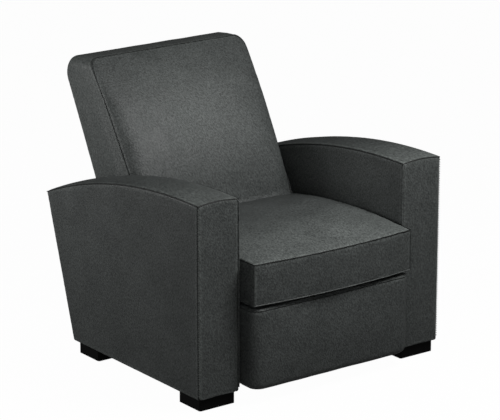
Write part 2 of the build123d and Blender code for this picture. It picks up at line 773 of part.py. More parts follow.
bracket_face = board_rear + plate_thickness
with BuildPart() as footrest_brackets:
    for side, _ in sides:
        web = side_plane(side, bracket_layer, link_thickness)
        extrude(block(web, (
            (board_rear, bracket_low), (board_rear, bracket_high),
            (upper_bracket_pivot[0], bracket_high),
            (lower_bracket_pivot[0] + link_width / 2, lower_bracket_pivot[1] + link_width / 2),
            (lower_bracket_pivot[0] + link_width / 2, lower_bracket_pivot[1] - link_width / 2),
            (bracket_face + link_width / 2, bracket_low),
        )), amount=link_thickness)
        foot_reach = bracket_layer + link_thickness - (bracket_screw_line - link_width / 2)
        extrude(block(side_plane(side, bracket_screw_line - link_width / 2, foot_reach), (
            (board_rear, bracket_low), (board_rear, bracket_high),
            (bracket_face, bracket_high), (bracket_face, bracket_low),
        )), amount=foot_reach)
        extrude(disc(web, (lower_bracket_pivot, upper_bracket_pivot), pin_radius + running_gap),
                amount=link_thickness, mode=Mode.SUBTRACT)
    with BuildSketch(Plane.XZ.offset(-(arm_front + bracket_face))):
        with Locations(*bracket_screw_spots):
            Circle(screw_radius + running_gap)
    extrude(amount=plate_thickness, mode=Mode.SUBTRACT)
save(footrest_brackets, "footrest_brackets")

with BuildPart() as bracket_screws:
    with BuildSketch(Plane.XZ.offset(-(arm_front + bracket_face))):
        with Locations(*bracket_screw_spots):
            Circle(screw_radius)
    extrude(amount=bracket_face - screw_tip)
    with BuildSketch(Plane.XZ.offset(-(arm_front + bracket_face + screw_head))):
        with Locations(*bracket_screw_spots):
            Circle(screw_head_radius)
    extrude(amount=screw_head)
save(bracket_screws, "bracket_screws")

# ---- back ----
face_up = Vector(0, sin(radians(back_lean)), cos(radians(back_lean)))
face_foot = Vector(0, *at(back_seam_depth, back_seam_level))
side_slope = (back_low_gap - back_top_gap) / (top_seam_level - back_bottom)
tan_fall, cos_fall = tan(radians(back_top_fall)), cos(radians(back_top_fall))


def back_half(level):
    """Half width of the back at a level."""
    return arm_inner - back_low_gap + side_slope * (level - back_bottom)


def pad_section(level, crown):
    """Section square to the back's face: arched front, sides full behind drawn-in seams."""
    half, seam = back_half(level), back_half(level) - back_side_draw
    run = (level - back_seam_level) / cos(radians(back_lean))
    station = Plane(origin=face_foot + face_up * run, x_dir=(1, 0, 0), z_dir=face_up)
    with BuildSketch(station) as section:
        with BuildLine():
            ThreePointArc((-seam, 0), (0, -crown), (seam, 0))
            ThreePointArc((seam, 0), (half, back_top_depth / 2), (seam, back_top_depth))
            Polyline((seam, back_top_depth), (seam, 2 * back_top_depth), (-seam, 2 * back_top_depth),
                     (-seam, back_top_depth))
            ThreePointArc((-seam, back_top_depth), (-half, back_top_depth / 2), (-seam, 0))
        make_face()
    return section.sketch


def back_front_view(margin):
    """Front view of the back, tapered and with rounded top corners, its sides let out by a margin."""
    low = back_bottom - back_flap_drop
    with BuildSketch(Plane.XZ.offset(-(arm_front + front_line(0)))) as outline:
        with BuildLine():
            Polyline(
                (-back_half(low) - margin, low), (-back_half(top_seam_level) - margin, top_seam_level),
                (back_half(top_seam_level) + margin, top_seam_level), (back_half(low) + margin, low),
                close=True,
            )
        make_face()
        fillet(outline.vertices().group_by(Axis.Y)[-1], back_side_corner + margin)
    return outline.sketch


def back_side_view(plane, front, top, rear, low):
    """Side view of the back, drawn in from its front seams, top and rear, down to a level."""
    front_shift = front / cos(radians(back_lean))
    front_high = top_seam_level - (front_shift * tan_fall + top / cos_fall) / (1 + tan_lean * tan_fall)
    rear_rise = (rear / cos_rear * tan_fall - top / cos_fall) / (1 + tan_rear * tan_fall)
    rear_high = rear_corner_level + rear_rise
    with BuildSketch(plane) as outline:
        with BuildLine():
            Polyline(
                at(front_line(low) + front_shift, low),
                at(front_line(front_high) + front_shift, front_high),
                at(rear_line(rear_high, rear), rear_high),
                at(rear_line(low, rear), low),
                close=True,
            )
        make_face()
        fillet(outline.vertices().sort_by(Axis.X)[-1], max(back_corner - max(top, rear), band_thickness))
    return outline.sketch


whole_width = Plane.YZ.offset(-half_width)
view_depth = rear_corner_depth - front_line(0)
pad_stations = (
    (back_bottom, back_crown / 24), (cushion_top, back_crown / 12),
    ((cushion_top + top_seam_level) / 2, back_crown), (top_seam_level, back_crown / 4),
)
with BuildPart() as back_pad:
    loft([pad_section(level, crown) for level, crown in pad_stations])
    extrude(back_side_view(whole_width, -2 * back_crown, band_thickness, back_frame_zone, back_bottom),
            amount=2 * half_width, mode=Mode.INTERSECT)
    extrude(back_front_view(back_side_draw), amount=-view_depth, mode=Mode.INTERSECT)
save(back_pad, "back_pad")

with BuildPart() as back_top_band:
    extrude(back_side_view(whole_width, 0, 0, outer_panel_thickness, back_bottom), amount=2 * half_width)
    extrude(back_side_view(whole_width, -2 * back_crown, band_thickness, -2 * outer_panel_thickness,
                           back_bottom - cut_over), amount=2 * half_width, mode=Mode.SUBTRACT)
    extrude(back_front_view(0), amount=-view_depth, mode=Mode.INTERSECT)
save(back_top_band, "back_top_band")

with BuildPart() as back_outer_panel:
    extrude(back_side_view(whole_width, 0, 0, 0, back_bottom - back_flap_drop), amount=2 * half_width)
    extrude(back_side_view(whole_width, -2 * half_width, 0, outer_panel_thickness,
                           back_bottom - back_flap_drop - cut_over),
            amount=2 * half_width, mode=Mode.SUBTRACT)
    extrude(back_front_view(0), amount=-view_depth, mode=Mode.INTERSECT)
save(back_outer_panel, "back_outer_panel")

back_post_outer = arm_link_layer
bracket_outer = arm_link_layer + link_thickness
boxing_inner = bracket_outer + screw_head + layer_gap
for side, name in sides:
    with BuildPart() as boxing:
        boxing_plane = side_plane(side, boxing_inner, half_width - boxing_inner)
        extrude(back_side_view(boxing_plane, 0, band_thickness, outer_panel_thickness, back_bottom),
                amount=half_width - boxing_inner)
        extrude(back_side_view(boxing_plane, -2 * half_width, 0, back_frame_zone, back_bottom - cut_over),
                amount=half_width - boxing_inner, mode=Mode.SUBTRACT)
        extrude(back_front_view(0), amount=-view_depth, mode=Mode.INTERSECT)
    save(boxing, f"back_{name}_boxing")

post_inner = back_post_outer - back_post_width
frame_top = rear_corner_level - back_corner - band_thickness
bracket_line = (outer_panel_thickness + back_frame_front) / 2
bolt_spots = [(rear_line(level, bracket_line), level)
              for level in (back_bottom + back_rail_height, back_bracket_top)]


def frame_slice(plane, low, high, near=outer_panel_thickness, far=back_frame_front):
    """Side view of a piece of the back frame between two levels and two insets from the rear face."""
    return block(plane, (
        (rear_line(low, near), low), (rear_line(high, near), high),
        (rear_line(high, far), high), (rear_line(low, far), low),
    ))


with BuildPart() as back_posts:
    for side, _ in sides:
        extrude(frame_slice(side_plane(side, post_inner, back_post_width), back_bottom, frame_top),
                amount=back_post_width)
        extrude(disc(side_plane(side, post_inner, back_post_width), bolt_spots, bolt_radius + running_gap),
                amount=back_post_width, mode=Mode.SUBTRACT)
save(back_posts, "back_posts")

for name, low in (("bottom", back_bottom), ("top", frame_top - back_rail_height)):
    with BuildPart() as back_rail:
        extrude(frame_slice(Plane.YZ.offset(-post_inner), low, low + back_rail_height),
                amount=2 * post_inner)
    save(back_rail, f"back_{name}_rail")

strap_pitch = (frame_top - back_bottom - strap_width) / (strap_count - 1)
with BuildPart() as webbing:
    for index in range(strap_count):
        low = back_bottom + index * strap_pitch
        extrude(frame_slice(Plane.YZ.offset(-back_post_outer), low, low + strap_width,
                            back_frame_front, back_frame_front + strap_thickness),
                amount=2 * back_post_outer)
save(webbing, "back_webbing")

elbow = (rear_line(back_bracket_elbow, bracket_line), back_bracket_elbow)
with BuildPart() as back_brackets:
    for side, _ in sides:
        bracket_plane = side_plane(side, arm_link_layer, link_thickness)
        extrude(link_outline(bracket_plane, [(recline_pivot, elbow), (elbow, bolt_spots[-1])],
                             [(recline_pivot, swing_pin_radius + running_gap)], back_bracket_width),
                amount=link_thickness)
        extrude(disc(bracket_plane, bolt_spots, bolt_radius + running_gap), amount=link_thickness,
                mode=Mode.SUBTRACT)
save(back_brackets, "back_brackets")

with BuildPart() as back_bolts:
    for side, _ in sides:
        extrude(disc(side_plane(side, post_inner, bracket_outer - post_inner), bolt_spots, bolt_radius),
                amount=bracket_outer - post_inner)
        extrude(disc(side_plane(side, bracket_outer, screw_head), bolt_spots, 2 * bolt_radius),
                amount=screw_head)
save(back_bolts, "back_bolts")
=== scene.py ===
import math

import bpy
import bmesh
import numpy as np
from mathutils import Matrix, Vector, noise
from mathutils.kdtree import KDTree


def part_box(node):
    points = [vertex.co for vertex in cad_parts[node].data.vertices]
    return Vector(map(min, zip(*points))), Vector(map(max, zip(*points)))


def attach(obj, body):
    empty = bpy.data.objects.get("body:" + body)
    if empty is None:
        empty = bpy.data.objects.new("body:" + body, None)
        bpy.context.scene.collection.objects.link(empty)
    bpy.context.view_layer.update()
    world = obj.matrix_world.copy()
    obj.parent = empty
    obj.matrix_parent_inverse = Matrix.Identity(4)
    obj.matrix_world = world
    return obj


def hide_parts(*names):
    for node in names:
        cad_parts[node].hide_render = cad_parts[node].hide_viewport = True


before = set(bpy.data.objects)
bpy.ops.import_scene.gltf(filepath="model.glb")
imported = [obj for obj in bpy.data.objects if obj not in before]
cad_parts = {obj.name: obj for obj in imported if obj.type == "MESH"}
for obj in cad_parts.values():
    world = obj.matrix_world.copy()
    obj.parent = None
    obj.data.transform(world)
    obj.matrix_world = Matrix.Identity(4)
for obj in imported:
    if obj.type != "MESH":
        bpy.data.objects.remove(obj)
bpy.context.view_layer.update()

# ---- Camera ----
# The photograph is taken from a little to the left and above, far off with a long lens, so the
# chair's upright edges stay nearly parallel.
scene = bpy.context.scene


def placed(name, data):
    """A new object of the data, placed in the scene."""
    made = bpy.data.objects.new(name, data)
    scene.collection.objects.link(made)
    return made


camera_data = bpy.data.cameras.new("camera")
camera_data.sensor_width = 36
camera_data.lens = 189.5
camera_data.clip_end = 40
camera = placed("camera", camera_data)
scene.camera = camera
camera_aim = Vector((-0.0880, -0.1736, 0.5011))
camera_back = Vector((-0.5720, -0.7690, 0.2865)).normalized()
camera_away = 8.023
camera.location = camera_aim + camera_away * camera_back
camera.rotation_euler = camera_back.to_track_quat("Z", "Y").to_euler()

# ---- Studio ----
# A white sweep of paper under and behind the chair. One large soft box hangs over the front right,
# a weaker one stands at the left, a faint low one at the front left, and the room adds very little.
scene.view_settings.view_transform = "Standard"


def linear(colour):
    """Linear RGBA of an sRGB hex colour such as '5b5e5c'."""
    parts = [int(colour[i:i + 2], 16) / 255 for i in (0, 2, 4)]
    return tuple(c / 12.92 if c <= 0.04045 else ((c + 0.055) / 1.055) ** 2.4 for c in parts) + (1.0,)


def add(tree, kind, inputs=None, **settings):
    """Adds a node; kind is a shader node's short name or any node's full one.

    An input is a value, another node's output, or a node for its first output.
    """
    made = tree.nodes.new(kind if "Node" in kind else "ShaderNode" + kind)
    for name, value in settings.items():
        setattr(made, name, value)
    for name, value in (inputs or {}).items():
        if isinstance(value, bpy.types.Node):
            value = value.outputs[0]
        if isinstance(value, bpy.types.NodeSocket):
            tree.links.new(value, made.inputs[name])
        else:
            made.inputs[name].default_value = value
    return made


def calc(tree, operation, *values, **settings):
    """A maths node that works on the values."""
    return add(tree, "Math", dict(enumerate(values)), operation=operation, **settings)


def between(tree, share, first, second):
    """The colour at a share of the way from one sRGB hex colour to another."""
    inputs = {0: share, 6: linear(first), 7: linear(second)}
    return add(tree, "Mix", inputs, data_type="RGBA").outputs[2]


def blank_material(name):
    """A new material whose node tree is empty."""
    made = bpy.data.materials.new(name)
    made.use_nodes = True
    made.node_tree.nodes.clear()
    return made, made.node_tree


white_paper, tree = blank_material("white paper sweep")
path = add(tree, "LightPath")
in_view = path.outputs["Is Camera Ray"]
paper = add(tree, "BsdfDiffuse", {"Color": between(tree, in_view, "5a5a5a", "fafafa")})
glow = add(tree, "Emission", {"Color": linear("ffffff"), "Strength": 1.0})
seen = calc(tree, "MULTIPLY_ADD", path.outputs["Is Glossy Ray"], 0.1, in_view)
blend = add(tree, "MixShader", {0: calc(tree, "MULTIPLY", seen, 0.98), 1: paper, 2: glow})
add(tree, "OutputMaterial", {"Surface": blend})

floor_mesh = bpy.data.meshes.new("floor")
floor_mesh.from_pydata([(-9, -12, 0), (9, -12, 0), (9, 12, 0), (-9, 12, 0)], [], [(0, 1, 2, 3)])
floor_mesh.materials.append(white_paper)
placed("floor", floor_mesh)

world = bpy.data.worlds.new("white room")
world.use_nodes = True
sky = world.node_tree
sky.nodes.clear()
room, backdrop = (add(sky, "Background", {"Color": linear("ffffff"), "Strength": strength})
                  for strength in (0.03, 1.0))
path = add(sky, "LightPath")
seen = calc(sky, "MAXIMUM", path.outputs["Is Camera Ray"], path.outputs["Is Transmission Ray"])
blend = add(sky, "MixShader", {0: seen, 1: room, 2: backdrop})
add(sky, "OutputWorld", {"Surface": blend})
scene.world = world

for lamp_name, place, aim, size, watts in (
    ("overhead soft box", (0.45, -1.25, 1.95), (0.0, 0.1, 0.6), 0.9, 33),
    ("left soft box", (-1.7, 0.95, 1.05), (-0.3, 0.3, 0.7), 0.7, 15.5),
    ("low front soft box", (-1.3, -1.7, 0.7), (-0.1, -0.3, 0.4), 0.7, 4.3),
):
    lamp_data = bpy.data.lights.new(lamp_name, "AREA")
    lamp_data.size = size
    lamp_data.energy = watts
    lamp = placed(lamp_name, lamp_data)
    lamp.location = place
    lamp.rotation_euler = (Vector(place) - Vector(aim)).to_track_quat("Z", "Y").to_euler()

# ---- Charcoal leather ----
# The whole cover is one corrected-grain upholstery leather: finely pebbled, with short streaks where
# the hide was stretched, and a soft sheen. Shade is painted in within 4 mm of each seam, and a lighter band,
# partly wear and partly a painted highlight, 7 to 14 mm from it. The pebbles are drawn 4.5 mm across, three
# times their real size, so that they show.
mm = 0.001
pebble, streak, cloud = 4.5 * mm, 3.6 * mm, 100 * mm


def mapped_material(name):
    """A new material, its empty node tree and the place of each point on its piece."""
    made, tree = blank_material(name)
    return made, tree, add(tree, "TexCoord").outputs["Object"]


def remapped(tree, value, source, target, **settings):
    """The value with a source range mapped onto a target range."""
    return add(tree, "MapRange", {"Value": value, "From Min": source[0], "From Max": source[1],
                                  "To Min": target[0], "To Max": target[1]}, **settings)


def speckled(tree, place, size, detail, roughness=0.5, distortion=0.0):
    """Noise whose largest lumps have the given size."""
    return add(tree, "TexNoise", {"Vector": place, "Scale": 1 / size, "Detail": detail,
                                  "Roughness": roughness, "Distortion": distortion})


def surfaced(made, colour, roughness, inputs, relief=None):
    """Ends a material in one principled surface; relief is its bumps' height, strength and depth."""
    tree = made.node_tree
    surface = add(tree, "BsdfPrincipled", {"Base Color": colour, "Roughness": roughness, **inputs})
    if relief:
        bump = add(tree, "Bump", dict(zip(("Height", "Strength", "Distance"), relief)))
        tree.links.new(bump.outputs[0], surface.inputs["Normal"])
    add(tree, "OutputMaterial", {"Surface": surface})
    return made


def leather(name, tint="494c4b", streak_turn=0.5, lay=1.0):
    """Leather whose stretch streaks are turned about Y; reads each cover's seam distance.

    lay below 1 draws the grain longer from front to rear, for covers that are seen at a low angle.
    """
    made, tree, place = mapped_material(name)
    laid = add(tree, "Mapping", {"Vector": place, "Scale": (1.0, lay, 1.0)})
    turned = add(tree, "Mapping", {"Vector": laid, "Rotation": (0.25, streak_turn, streak_turn)})
    stretched = add(tree, "Mapping", {"Vector": turned, "Scale": (1.0, 1.0, 0.5)})
    pebbles = add(tree, "TexVoronoi", {"Vector": turned, "Scale": 1 / pebble}, feature="SMOOTH_F1")
    streaks = speckled(tree, stretched, streak, 3.0, 0.6)
    clouds = speckled(tree, place, cloud, 5.0, 0.62)
    # Each cover stores its distance to the nearest seam and a share of painted highlight at each point.
    seam, painted_highlight = (add(tree, "Attribute", attribute_name=label).outputs["Fac"]
                  for label in ("seam_distance", "painted_highlight"))
    # Painted shade: within 1 to 4 mm of a seam, where its fold lies in shade, the colour darkens to 16 %.
    painted_crease_shade = remapped(tree, seam, (1 * mm, 4 * mm), (0.16, 1.0), interpolation_type="SMOOTHSTEP")
    # Partly wear, partly a painted highlight: the colour lightens 7 to 14 mm from a seam.
    seam_wear_and_highlight = remapped(tree, seam, (14 * mm, 7 * mm), (0.0, 0.28), interpolation_type="SMOOTHSTEP")
    mottle = remapped(tree, clouds, (0.3, 0.7), (0.88, 1.12))
    fleck = remapped(tree, streaks, (0.35, 0.65), (0.55, 1.47))
    shade = calc(tree, "MULTIPLY", calc(tree, "MULTIPLY", mottle, fleck), painted_crease_shade)
    # The stored painted highlight adds to that, and the colour is mixed towards the lighter 626664.
    highlight_share = calc(tree, "ADD", seam_wear_and_highlight, painted_highlight, use_clamp=True)
    hide = between(tree, highlight_share, tint, "626664")
    colour = add(tree, "VectorMath", {0: hide, "Scale": shade}, operation="SCALE")
    dull = remapped(tree, clouds, (0.3, 0.7), (0.42, 0.56))
    grain = calc(tree, "ADD", pebbles, streaks)
    return surfaced(made, colour, dull, {"Specular IOR Level": 0.3}, (grain, 0.8, 0.8 * mm))


hide_upright = leather("charcoal leather")
hide_side = leather("charcoal leather, cut across", streak_turn=-0.5)
hide_flat = leather("charcoal leather, laid flat", lay=0.55)
# The arm tops get a darker tint as painted shade, because less light falls on them.
hide_arm_top_shaded = leather("charcoal leather, arm tops, painted darker", tint="404342", lay=0.36)


def mark(mesh, name, values):
    """Stores one number per point of the mesh, or the same one for all, under a name."""
    layer = mesh.attributes.new(name, "FLOAT", "POINT")
    layer.data.foreach_set("value", np.broadcast_to(values, len(mesh.vertices)).astype(np.float32))


def highlighted(piece, share):
    """Paints a highlight into the leather's colour: a share from 0 to 1 of lightening at each point."""
    mark(piece.data, "painted_highlight", share)

# ---- Arms ----
# Each arm is a box frame of boards under padded leather. Five covers are sewn edge to edge: outer
# and inner panels, a front facing, an arched top and a rear panel. Lengths are in metres.
front_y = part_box("left_arm_front_facing")[0][1]
arm_inner, arm_outer = 0.310, 0.460
arm_floor, arm_height, arm_foot = 0.038, 0.635, 0.680
arch_radius, arch_lead = 1.960, 0.080
arch_end, arm_top_end = 0.815, 0.818
arch_level = arm_height - math.sqrt(arch_radius ** 2 - arch_lead ** 2)
rake_angle = math.radians(16.9)
rake = math.tan(rake_angle)
arm_crown = 0.008
stitch_pitch = 0.0075


def at(x, depth, level):
    """Point from a place across the chair, a depth behind the arms' front and a level."""
    return np.array((x, front_y + depth, level))


def arch(depth):
    """Level of the arms' arch at a depth."""
    return arch_level + math.sqrt(arch_radius ** 2 - (depth - arch_lead) ** 2)


def rake_depth(level):
    """Depth of the arms' rear edge at a level."""
    return arm_foot + (level - arm_floor) * rake


def stations(length, step, edge=(0.0, 0.0012, 0.0026, 0.0042, 0.0062, 0.0086, 0.0118, 0.016, 0.021)):
    """Fractions along a length, close together near both ends and a step apart between."""
    near = [d for d in edge if d < length / 2]
    inner = np.linspace(near[-1], length - near[-1], max(2, int((length - 2 * near[-1]) / step) + 1))
    return np.array([*near[:-1], *inner, *[length - d for d in reversed(near[:-1])]]) / length


def wrinkle(point, size, seed):
    """Smooth noise from -1 to 1 whose lumps have the given size."""
    return noise.noise(Vector(point) / size + Vector((seed, 2.7 * seed, 7.1)))


def gathered(gap, fade):
    """Share of a seam's gathers left at a gap from it: none on the seam, most just beside it."""
    return math.exp(-gap / fade) * min(1.0, gap / 0.003)


def waves(point, gap, height, full, size, seed):
    """Broad waves of the leather, which grow to their full height at a distance from the seams."""
    return height * min(1.0, gap / full) * wrinkle(point, size, seed)


def rolled(gap, radius, reach):
    """How far an edge that starts to roll at its reach has rolled back at a gap from it."""
    return radius - np.sqrt(radius ** 2 - np.clip(reach - gap, 0, None) ** 2)


def closed_cover(name, outside, inside, nearest=0.0):
    """Closed mesh from an outer and an inner grid of points, with their distance to the nearest seam."""
    n, m = outside.shape[:2]
    verts = np.concatenate([outside.reshape(-1, 3), inside.reshape(-1, 3)])
    index = np.arange(n * m).reshape(n, m)
    back = index + n * m
    faces = []
    for grid in (index, back[:, ::-1]):
        a, b, c, d = grid[:-1, :-1], grid[1:, :-1], grid[1:, 1:], grid[:-1, 1:]
        faces += np.stack([a, b, c, d], axis=-1).reshape(-1, 4).tolist()
    rim = np.array([*index[:, 0], *index[-1, 1:], *index[-2::-1, -1], *index[0, -2:0:-1]])
    after = np.roll(rim, -1)
    faces += np.stack([rim, rim + n * m, after + n * m, after], axis=-1).tolist()
    mesh = bpy.data.meshes.new(name)
    mesh.from_pydata(verts.tolist(), [], faces)
    mark(mesh, "seam_distance", np.tile(np.broadcast_to(nearest, (n, m)).ravel(), 2))
    outward = bmesh.new()
    outward.from_mesh(mesh)
    bmesh.ops.remove_doubles(outward, verts=outward.verts, dist=1e-6)
    bmesh.ops.recalc_face_normals(outward, faces=outward.faces)
    outward.to_mesh(mesh)
    outward.free()
    mesh.shade_smooth()
    return placed(name, mesh)


def everywhere(*direction):
    """The same direction at every place of a panel."""
    return lambda u, v: np.array(direction, float)


def panel_cover(name, pattern, normal, us, vs, rolls, crown, pucker, seed, thick=0.011, against=None,
                stitched=None, open_by=0.008):
    """Cover of a padded panel: its edges roll off, the middle is crowned, and seams gather it a little.

    pattern(u, v) gives a point and normal(u, v) its outward direction. rolls are (radius, degrees)
    for the edges at u = 0, u = 1, v = 0 and v = 1. stitched is the edge that is sewn through; open_by
    is added to its seam distance, which shifts the gathers, takes the painted seam shade off that edge
    and brings the painted highlight onto it. The inside lies thick back from the pattern,
    against the normal or another direction.
    """
    flat = np.array([[pattern(u, v) for v in vs] for u in us])
    out = np.array([[normal(u, v) for v in vs] for u in us])
    behind = out if against is None else np.array(against)
    gaps = [np.linalg.norm(flat - edge, axis=2) for edge in (flat[:1], flat[-1:], flat[:, :1], flat[:, -1:])]
    height = np.zeros(flat.shape[:2])
    for gap, (radius, turn) in zip(gaps, rolls):
        height -= rolled(gap, radius, radius * math.sin(math.radians(turn)))
    u_grid, v_grid = np.meshgrid(us, vs, indexing="ij")
    height += crown * (1 - np.abs(2 * u_grid - 1) ** 3) * (1 - np.abs(2 * v_grid - 1) ** 3)
    nearest = np.minimum.reduce(gaps)
    if stitched is not None:
        nearest = np.minimum.reduce([gap + (open_by if k == stitched else 0) for k, gap in enumerate(gaps)])
        ridge = np.exp(-((gaps[stitched] - 0.0045) / 0.0035) ** 2)
        height += 0.0006 * ridge * (0.5 - 0.5 * np.cos(2 * math.pi * flat[..., 2] / stitch_pitch))
    for i, j in np.ndindex(height.shape):
        point, gap = flat[i, j], nearest[i, j]
        height[i, j] += pucker * gathered(gap, 0.012) * wrinkle(point, 0.011, seed)
        height[i, j] += waves(point, gap, 0.0009, 0.04, 0.085, seed + 5)
    return closed_cover(name, flat + out * height[..., None], flat - thick * behind, nearest)


def points_of(mesh):
    """The mesh's points as an array."""
    spots = np.empty(len(mesh.vertices) * 3, np.float32)
    mesh.vertices.foreach_get("co", spots)
    return spots.reshape(-1, 3).astype(float)


def finish_cover(piece, body, material, nodes):
    """Gives a leather cover its material, hangs it on its body and hides the nodes that it stands for."""
    piece.data.materials.clear()
    piece.data.materials.append(material)
    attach(piece, body)
    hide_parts(*nodes)


# Each edge rolls off by a radius and an angle; a welt or fold lies where two rolls meet.
corner_roll, arch_roll = 0.009, 0.006
corner_in, arch_in = (roll * (1 - math.cos(math.radians(45))) for roll in (corner_roll, arch_roll))
half_turn, stitched_turn, soft_turn = (corner_roll, 52), (corner_roll, 46), (0.024, 34)
arch_turn, under_turn = (arch_roll, 52), (0.005, 88)
arch_rear = rake_depth(arch(arch_end)) - corner_in
foot_round = 0.012          # radius of the facing's lower corners
first_turn, last_turn = (math.asin((depth - arch_lead) / arch_radius)
                         for depth in (corner_in, arm_top_end - corner_in))


def arm_x(u):
    """Place across the right arm, from the inner seam at u = 0 to the outer one at u = 1."""
    return arm_inner + corner_in + (arm_outer - arm_inner - 2 * corner_in) * u


def arm_rise(u):
    """How far the arm's top stands above its seams."""
    return arm_crown * (1 - (2 * u - 1) ** 2) * 0.85


def arm_cover(arm, cover, node, material, *shape, **more):
    """Panel cover that stands for one node of an arm."""
    piece = panel_cover(f"{arm}_{cover}_cover", *shape, **more)
    finish_cover(piece, "base", material, [f"{arm}_{node}"])
    return piece


for side, arm in ((-1, "left_arm"), (1, "right_arm")):
    for cover, face_x, facing in (("outer", arm_outer, 1), ("inner", arm_inner, -1)):
        def side_pattern(u, v):
            low = corner_in + (rake_depth(arm_floor) - 2 * corner_in) * u
            high = corner_in + (arch_rear - corner_in) * u
            depth = low + (high - low) * v
            top = arch(high) - arch_in
            return at(side * face_x, depth, arm_floor + (top - arm_floor) * v)

        if cover == "outer":
            sewn_edge, front_turn, hide, step = 0, stitched_turn, hide_side, 0.0019
        else:
            sewn_edge, front_turn, hide, step = None, half_turn, hide_upright, 0.0075
        arm_cover(arm, cover, f"{cover}_panel", hide, side_pattern, everywhere(side * facing, 0, 0),
                  stations(0.73, 0.0085), stations(0.59, step),
                  (front_turn, half_turn, under_turn, arch_turn),
                  0.0025, 0.0008, 3 + side + 2 * facing, stitched=sewn_edge, open_by=0.0)

    def facing_pattern(u, v):
        top = arch(corner_in) - arch_in + arm_rise(u)
        level = arm_floor + (top - arm_floor) * v
        foot = min(foot_round, max(0.0, level - arm_floor))
        pull = foot_round - math.sqrt(foot_round ** 2 - (foot_round - foot) ** 2)
        return at(side * arm_x(u) - side * (2 * u - 1) * pull, 0.0, level)

    piece = arm_cover(arm, "front", "front_facing", hide_upright, facing_pattern, everywhere(0, -1, 0),
                      stations(0.145, 0.006), stations(0.595, 0.0019),
                      (soft_turn, stitched_turn, under_turn, arch_turn),
                      0.0015, 0.0011, 11 + side, thick=0.020, stitched=1)
    # A highlight is painted along the ridge of the facing's stitched outer edge.
    from_edge = arm_outer - corner_in - side * points_of(piece.data)[:, 0]
    highlighted(piece, 0.8 * np.exp(-(from_edge / 0.007) ** 2))

    def top_pattern(u, v):
        turn = first_turn + (last_turn - first_turn) * v
        radius = arch_radius + arm_rise(u)
        x = side * (arm_inner + arch_in + (arm_outer - arm_inner - 2 * arch_in) * u)
        return at(x, arch_lead + radius * math.sin(turn), arch_level + radius * math.cos(turn))

    def top_normal(u, v):
        turn = first_turn + (last_turn - first_turn) * v
        return np.array((0.0, math.sin(turn), math.cos(turn)))

    piece = arm_cover(arm, "top", "top_pad", hide_arm_top_shaded, top_pattern, top_normal,
                      stations(0.146, 0.006), stations(0.82, 0.0075), [arch_turn] * 4,
                      0.0012, 0.0009, 17 + side, thick=0.014)
    # A highlight is painted over the front of each arm top, fading to the rear.
    highlighted(piece, 0.6 * np.exp(-((points_of(piece.data)[:, 1] - front_y) / 0.22) ** 2))

    def rear_pattern(u, v):
        level = arm_floor + (arch(arch_end) - arch_in - arm_floor + arm_rise(u)) * v
        return at(side * arm_x(u), rake_depth(level), level)

    arm_cover(arm, "rear", "rear_panel", hide_side, rear_pattern,
              everywhere(0, math.cos(rake_angle), -math.sin(rake_angle)),
              stations(0.145, 0.008), stations(0.47, 0.009), (half_turn, half_turn, under_turn, arch_turn),
              0.0012, 0.0008, 23 + side, against=(0, 1, 0))

# ---- Arm fold shade, welts and stitches ----
# The arch seams are sewn flat; near-black leather tubes lie in them as painted shade in their folds. A thin
# welt, a cord painted lighter as a highlight, runs down the facing's inner edge. Its outer edge is sewn
# through every 7.5 mm, which gathers it.
def sewn_tree(name, sizes):
    """A geometry node tree that takes seam lines, named sizes in metres and a material; its inputs."""
    tree = bpy.data.node_groups.new(name, "GeometryNodeTree")
    tree.interface.new_socket("Seams", in_out="INPUT", socket_type="NodeSocketGeometry")
    for label, size in sizes.items():
        tree.interface.new_socket(label, in_out="INPUT", socket_type="NodeSocketFloat").default_value = size
    tree.interface.new_socket("Material", in_out="INPUT", socket_type="NodeSocketMaterial")
    tree.interface.new_socket("Sewn", in_out="OUTPUT", socket_type="NodeSocketGeometry")
    return tree, add(tree, "NodeGroupInput").outputs


def end_tree(tree, given, made):
    """Ends a sewing tree: what was made becomes one plain mesh of the given material."""
    real = add(tree, "GeometryNodeRealizeInstances", {0: made})
    clad = add(tree, "GeometryNodeSetMaterial", {"Geometry": real, "Material": given["Material"]})
    add(tree, "NodeGroupOutput", {0: clad})


welt_tree, given = sewn_tree("welt along a seam", {"Radius": 0.0013, "Step": 0.004})
line = add(welt_tree, "GeometryNodeMeshToCurve", {"Mesh": given["Seams"]})
even = add(welt_tree, "GeometryNodeResampleCurve", {"Curve": line, "Length": given["Step"]}, mode="LENGTH")
ring = add(welt_tree, "GeometryNodeCurvePrimitiveCircle", {"Resolution": 8, "Radius": given["Radius"]})
wrapped = add(welt_tree, "GeometryNodeCurveToMesh", {"Curve": even, "Profile Curve": ring, "Fill Caps": True})
end_tree(welt_tree, given, add(welt_tree, "GeometryNodeSetShadeSmooth", {0: wrapped}))

stitch_tree, given = sewn_tree("stitches along a seam",
                               {"Pitch": stitch_pitch, "Length": 0.0046, "Radius": 0.0012})
line = add(stitch_tree, "GeometryNodeMeshToCurve", {"Mesh": given["Seams"]})
holes = add(stitch_tree, "GeometryNodeCurveToPoints", {"Curve": line, "Length": given["Pitch"]},
            mode="LENGTH")
lay = add(stitch_tree, "FunctionNodeAlignRotationToVector", {"Vector": holes.outputs["Tangent"]}, axis="Z")
half = calc(stitch_tree, "MULTIPLY", given["Length"], 0.5)
loop_size = add(stitch_tree, "CombineXYZ", {"X": given["Radius"], "Y": given["Radius"], "Z": half})
loop = add(stitch_tree, "GeometryNodeMeshUVSphere", {"Segments": 6, "Rings": 5, "Radius": 1.0})
end_tree(stitch_tree, given, add(stitch_tree, "GeometryNodeInstanceOnPoints", {
    "Points": holes, "Instance": loop, "Rotation": lay, "Scale": loop_size,
}))


def shaped(piece):
    """A new mesh of the piece as its modifiers shape it."""
    view = bpy.context.evaluated_depsgraph_get()
    return bpy.data.meshes.new_from_object(piece.evaluated_get(view))


def applied(piece):
    """Applies the piece's modifiers."""
    plain = shaped(piece)
    piece.modifiers.clear()
    piece.data = plain


